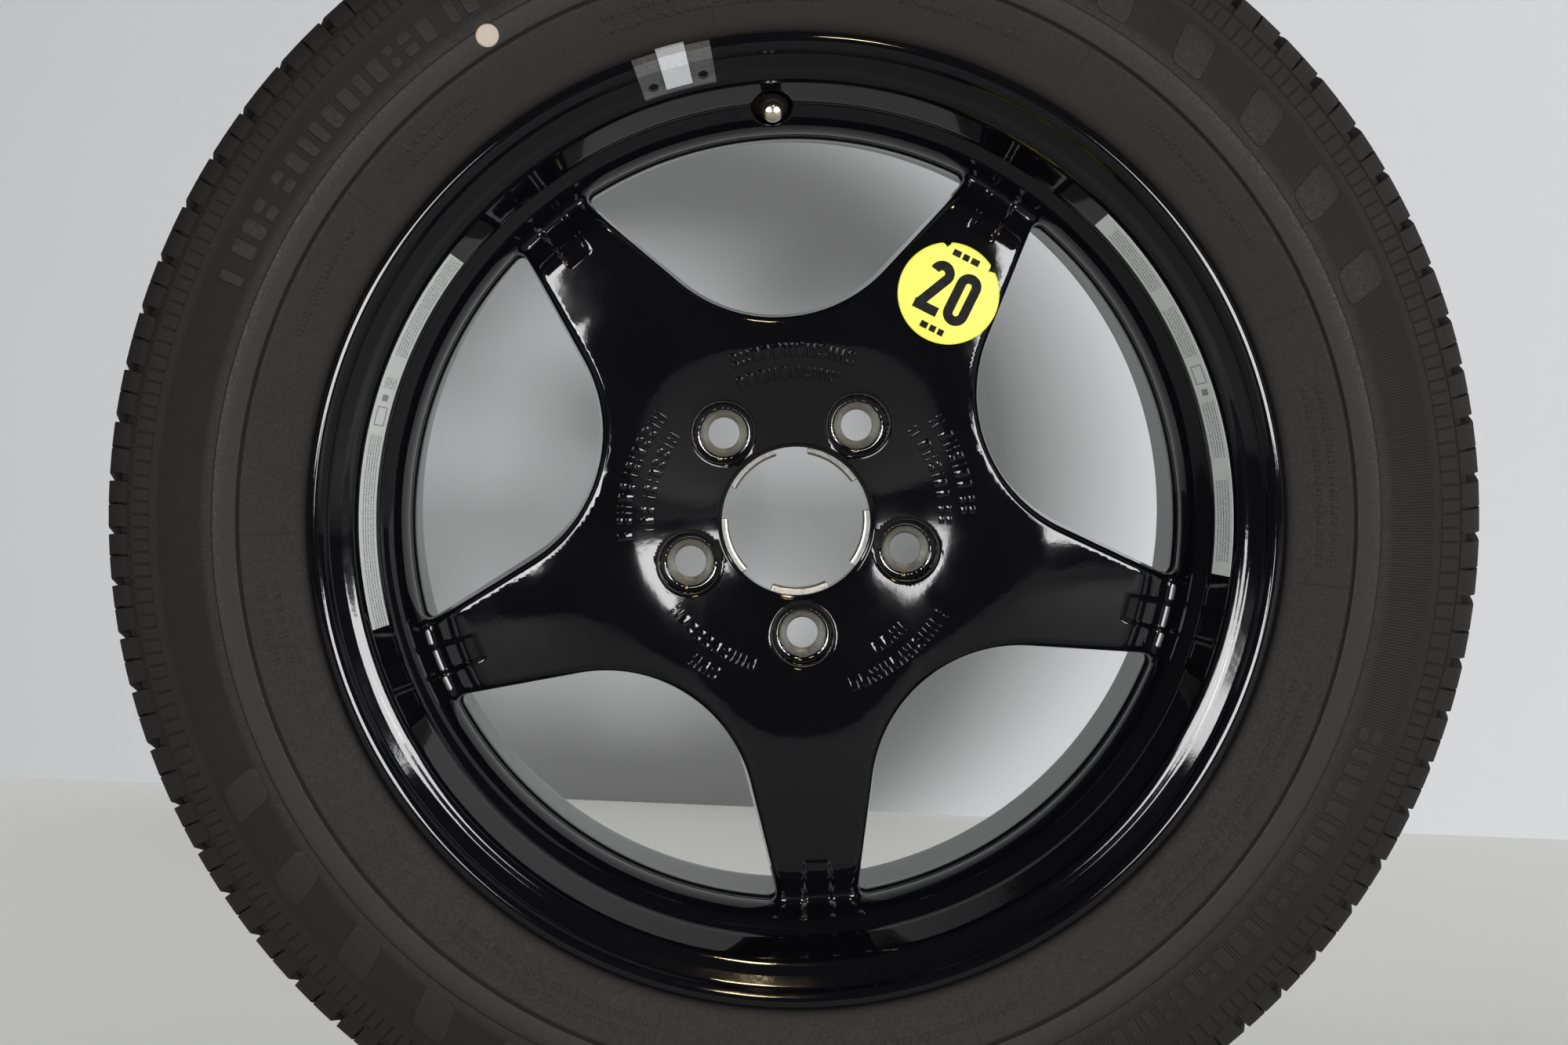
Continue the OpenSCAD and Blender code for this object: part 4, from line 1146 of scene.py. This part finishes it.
def label_material():
    """Pale film with rows of faint broken lines, and a small box beside an outlined one on each strip."""
    m = Mat("label_film")
    p = m.place()
    r, angle = m.axle(p)
    row = m.math("DIVIDE", m.math("SUBTRACT", r, 0.2058), ROW_PITCH)
    line = m.math("GREATER_THAN", m.math("FRACT", row), 0.55)
    inside = m.math("MULTIPLY", m.span(r, LABEL_LOW, LABEL_LOW + 0.0001),
                    m.span(r, LABEL_HIGH - 0.0001, LABEL_HIGH, 1.0, 0.0))
    cell = m.node("CombineXYZ", m.math("MULTIPLY", angle, 300.0), m.math("MULTIPLY", r, 1060.0)).outputs[0]
    broken = m.math("GREATER_THAN", m.noise(cell, 1.0, 1.0), 0.44)
    block = m.math("GREATER_THAN", m.noise(m.node("CombineXYZ", angle).outputs[0], 9.0, 0.0), 0.42)
    ink = m.math("MULTIPLY", m.math("MULTIPLY", line, inside), m.math("MULTIPLY", broken, block))
    for turn in BOX_TURNS:
        clear = label_patch(m, r, angle, turn + 0.6, 6.4, 0.2, 0.22)
        outline = m.math("SUBTRACT", label_patch(m, r, angle, turn + 1.2, 2.6, 0.2066, 0.2105),
                         label_patch(m, r, angle, turn + 1.2, 2.3, 0.2070, 0.2101))
        box = label_patch(m, r, angle, turn - 1.3, 0.9, 0.2076, 0.2098)
        ink = m.math("MULTIPLY", ink, m.math("SUBTRACT", 1.0, clear))
        ink = m.math("MAXIMUM", ink, m.math("MAXIMUM", outline, box))
    worn = m.noise(p, 120, 3, 0.6)
    color = m.mix(worn, (0.47, 0.48, 0.47), (0.57, 0.58, 0.57))
    m.set(Base_Color=m.mix(m.math("MULTIPLY", ink, 0.75), color, (0.08, 0.08, 0.09)),
          Roughness=m.span(worn, 0.3, 0.7, 0.4, 0.6))
    return m.material


# Floor and wall, in metres
FLOOR_Z = -TREAD_R * 0.001
WALL_A, WALL_B = Vector((-0.908, 1.982, 0)), Vector((0.630, 0.863, 0))
WALL_HEIGHT = 4
SIDE_REACH, FRONT_REACH = 4, 3.8


def stage_sheet(name, corners, color, glow):
    """A flat sheet. Its glow is seen by the camera and in reflections only, and fades towards the front."""
    mesh = bpy.data.meshes.new(name)
    mesh.from_pydata(corners, [], [(0, 1, 2, 3)])
    sheet = bpy.data.objects.new(name, mesh)
    bpy.context.scene.collection.objects.link(sheet)
    m = Mat("stage_" + name)
    rays = m.node("LightPath").outputs
    seen = m.math("MAXIMUM", m.math("MAXIMUM", rays["Is Camera Ray"], rays["Is Glossy Ray"]),
                  rays["Is Transmission Ray"])
    p = m.place()
    depth = m.span(m.node("SeparateXYZ", p).outputs[1], -0.8, 0.5, 0.15, 1.0)
    m.set(Base_Color=m.mix(m.noise(p, 3, 2), shade(color, 0.98), color), Roughness=0.8, Emission_Color=glow,
          Emission_Strength=m.math("MULTIPLY", seen, depth))
    use(sheet, m.material)


def make_stage():
    """A wall along the line from WALL_A to WALL_B, and a floor from it towards the camera."""
    along = (WALL_B - WALL_A).normalized()
    front = Vector((along.y, -along.x, 0)) * FRONT_REACH
    a, b = WALL_A - along * SIDE_REACH, WALL_B + along * SIDE_REACH
    wall = [(v.x, v.y, z) for v, z in ((a, FLOOR_Z), (b, FLOOR_Z), (b, WALL_HEIGHT), (a, WALL_HEIGHT))]
    floor = [(v.x, v.y, FLOOR_Z) for v in (a, b, b + front, a + front)]
    stage_sheet("wall", wall, (0.655, 0.66, 0.67), (0.01, 0.01, 0.01))
    stage_sheet("floor", floor, (0.76, 0.76, 0.75), (0.24, 0.242, 0.23))


# Light
WORLD_COLOR, WORLD_STRENGTH = (0.92, 0.95, 1.0, 1), 0.035
LAMP_DISTANCE = 3.0


def lamp(name, centre, size, power, only, aim=(0, 0, 0), color=(1, 1, 1)):
    """An area lamp that gives only one kind of light, diffuse or gloss."""
    data = bpy.data.lights.new(name, "AREA")
    data.shape = "RECTANGLE"
    data.size, data.size_y = size
    data.energy = power
    data.color = color
    obj = bpy.data.objects.new(name, data)
    obj.location = centre
    obj.rotation_euler = (Vector(aim) - Vector(centre)).to_track_quat("-Z", "Y").to_euler()
    obj.visible_glossy = only == "gloss"
    obj.visible_diffuse = only == "diffuse"
    obj.visible_camera = False
    bpy.context.scene.collection.objects.link(obj)


def around(turn, off_axis):
    """A place in front of the wheel: turn is the angle about the axle, off_axis the angle from it."""
    t, o = math.radians(turn), math.radians(off_axis)
    outward = LAMP_DISTANCE * math.sin(o)
    return outward * math.cos(t), -LAMP_DISTANCE * math.cos(o), outward * math.sin(t)


def make_light():
    world = bpy.data.worlds.new("world")
    bpy.context.scene.world = world
    world.use_nodes = True
    background = world.node_tree.nodes["Background"].inputs
    background["Color"].default_value = WORLD_COLOR
    background["Strength"].default_value = WORLD_STRENGTH
    lamp("front", (0.75, -8.0, 0.12), (0.95, 0.65), 800, "diffuse")
    lamp("right", around(17, 35), (1.45, 1.0), 110, "gloss")
    lamp("left", around(155, 35), (1.45, 1.0), 110, "gloss")
    lamp("right_inner", around(9, 17.5), (0.32, 0.4), 10, "gloss")
    lamp("left_inner", around(165, 17.5), (0.32, 0.55), 13, "gloss")
    lamp("warm", around(78, 52), (0.3, 0.3), 25, "gloss", color=(1.0, 0.8, 0.45))
    lamp("backdrop", (-1.9, 0.6, 0.3), (0.6, 0.6), 4.0, "diffuse", aim=(-1.0, 1.95, 0))


# Put together
def place(pieces, node, slot, material):
    for piece in pieces:
        use(piece, material)
        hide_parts(node)
        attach(piece, "wheel_set")


bpy.context.scene.view_settings.view_transform = "Standard"
make_stage()
make_light()
place([*make_casting_centre(), make_rim_outboard(), make_rim_barrel(), make_valve_patch(), make_bore(),
       make_hub_marks()], "wheel", "paint", paint_material())
place([make_bolt_seats(), make_bore_pads()], "wheel", "paint",
      finish("machined_aluminium", (0.33, 0.32, 0.3), 0.33, 1.0, 900))
place([*make_sidewalls(), make_tread(), *make_sidewall_marks()], "tyre", "tyre", tyre_material())
place([make_paint_dot()], "tyre", "tyre", finish("dot_paint", (0.36, 0.30, 0.24), 0.7, 0.0, 500, 0.25))
place([make_sticker_film()], "speed_sticker", "sticker_film",
      finish("sticker_film", (0.75, 0.75, 0.085), 0.42, 0.0, 60, 0.03, 0.00001, 0.3))
place([make_sticker_print()], "speed_sticker", "sticker_film",
      finish("sticker_ink", (0.005, 0.005, 0.005), 0.7, specular=0.1))

label = label_material()
brass = finish("turned_brass", (0.62, 0.43, 0.17), 0.28, 1.0, 3000, 0.15, 0.000004, edge=0.0001)
node_looks = {
    "label_left": label,
    "label_right": label,
    "valve_rubber": finish("valve_rubber", (0.016, 0.011, 0.009), 0.5, 0.0, 700, 0.3, 0.00004),
    "valve_stem": brass,
    "core_plug": brass,
    "core_barrel": brass,
    "core_pin": brass,
    "core_gasket": finish("core_gasket", (0.5, 0.05, 0.03), 0.5, 0.0, 2500),
    "core_cup": finish("core_cup", (0.01, 0.01, 0.01), 0.6, 0.0, 2500),
    "core_spring": finish("spring_wire", (0.55, 0.56, 0.58), 0.25, 1.0, 3000, 0.1, 0.000003),
    "valve_cap": finish("nickel_plate", (0.62, 0.57, 0.47), 0.22, 1.0, 1500, 0.1, 0.00001, edge=0.0003),
    "cap_seal": finish("cap_seal", (0.01, 0.01, 0.01), 0.6, 0.0, 2500),
    "balance_weight": finish("cast_zinc", (0.055, 0.054, 0.054), 0.55, 0.15, 900, 0.6, 0.0003, edge=0.0006),
    "weight_clip": finish("coated_clip", (0.40, 0.415, 0.42), 0.45, 0.2, 500, 0.12, 0.00003, edge=0.0004),
}
for node, material in node_looks.items():
    use(frame["nodes"][node], material)
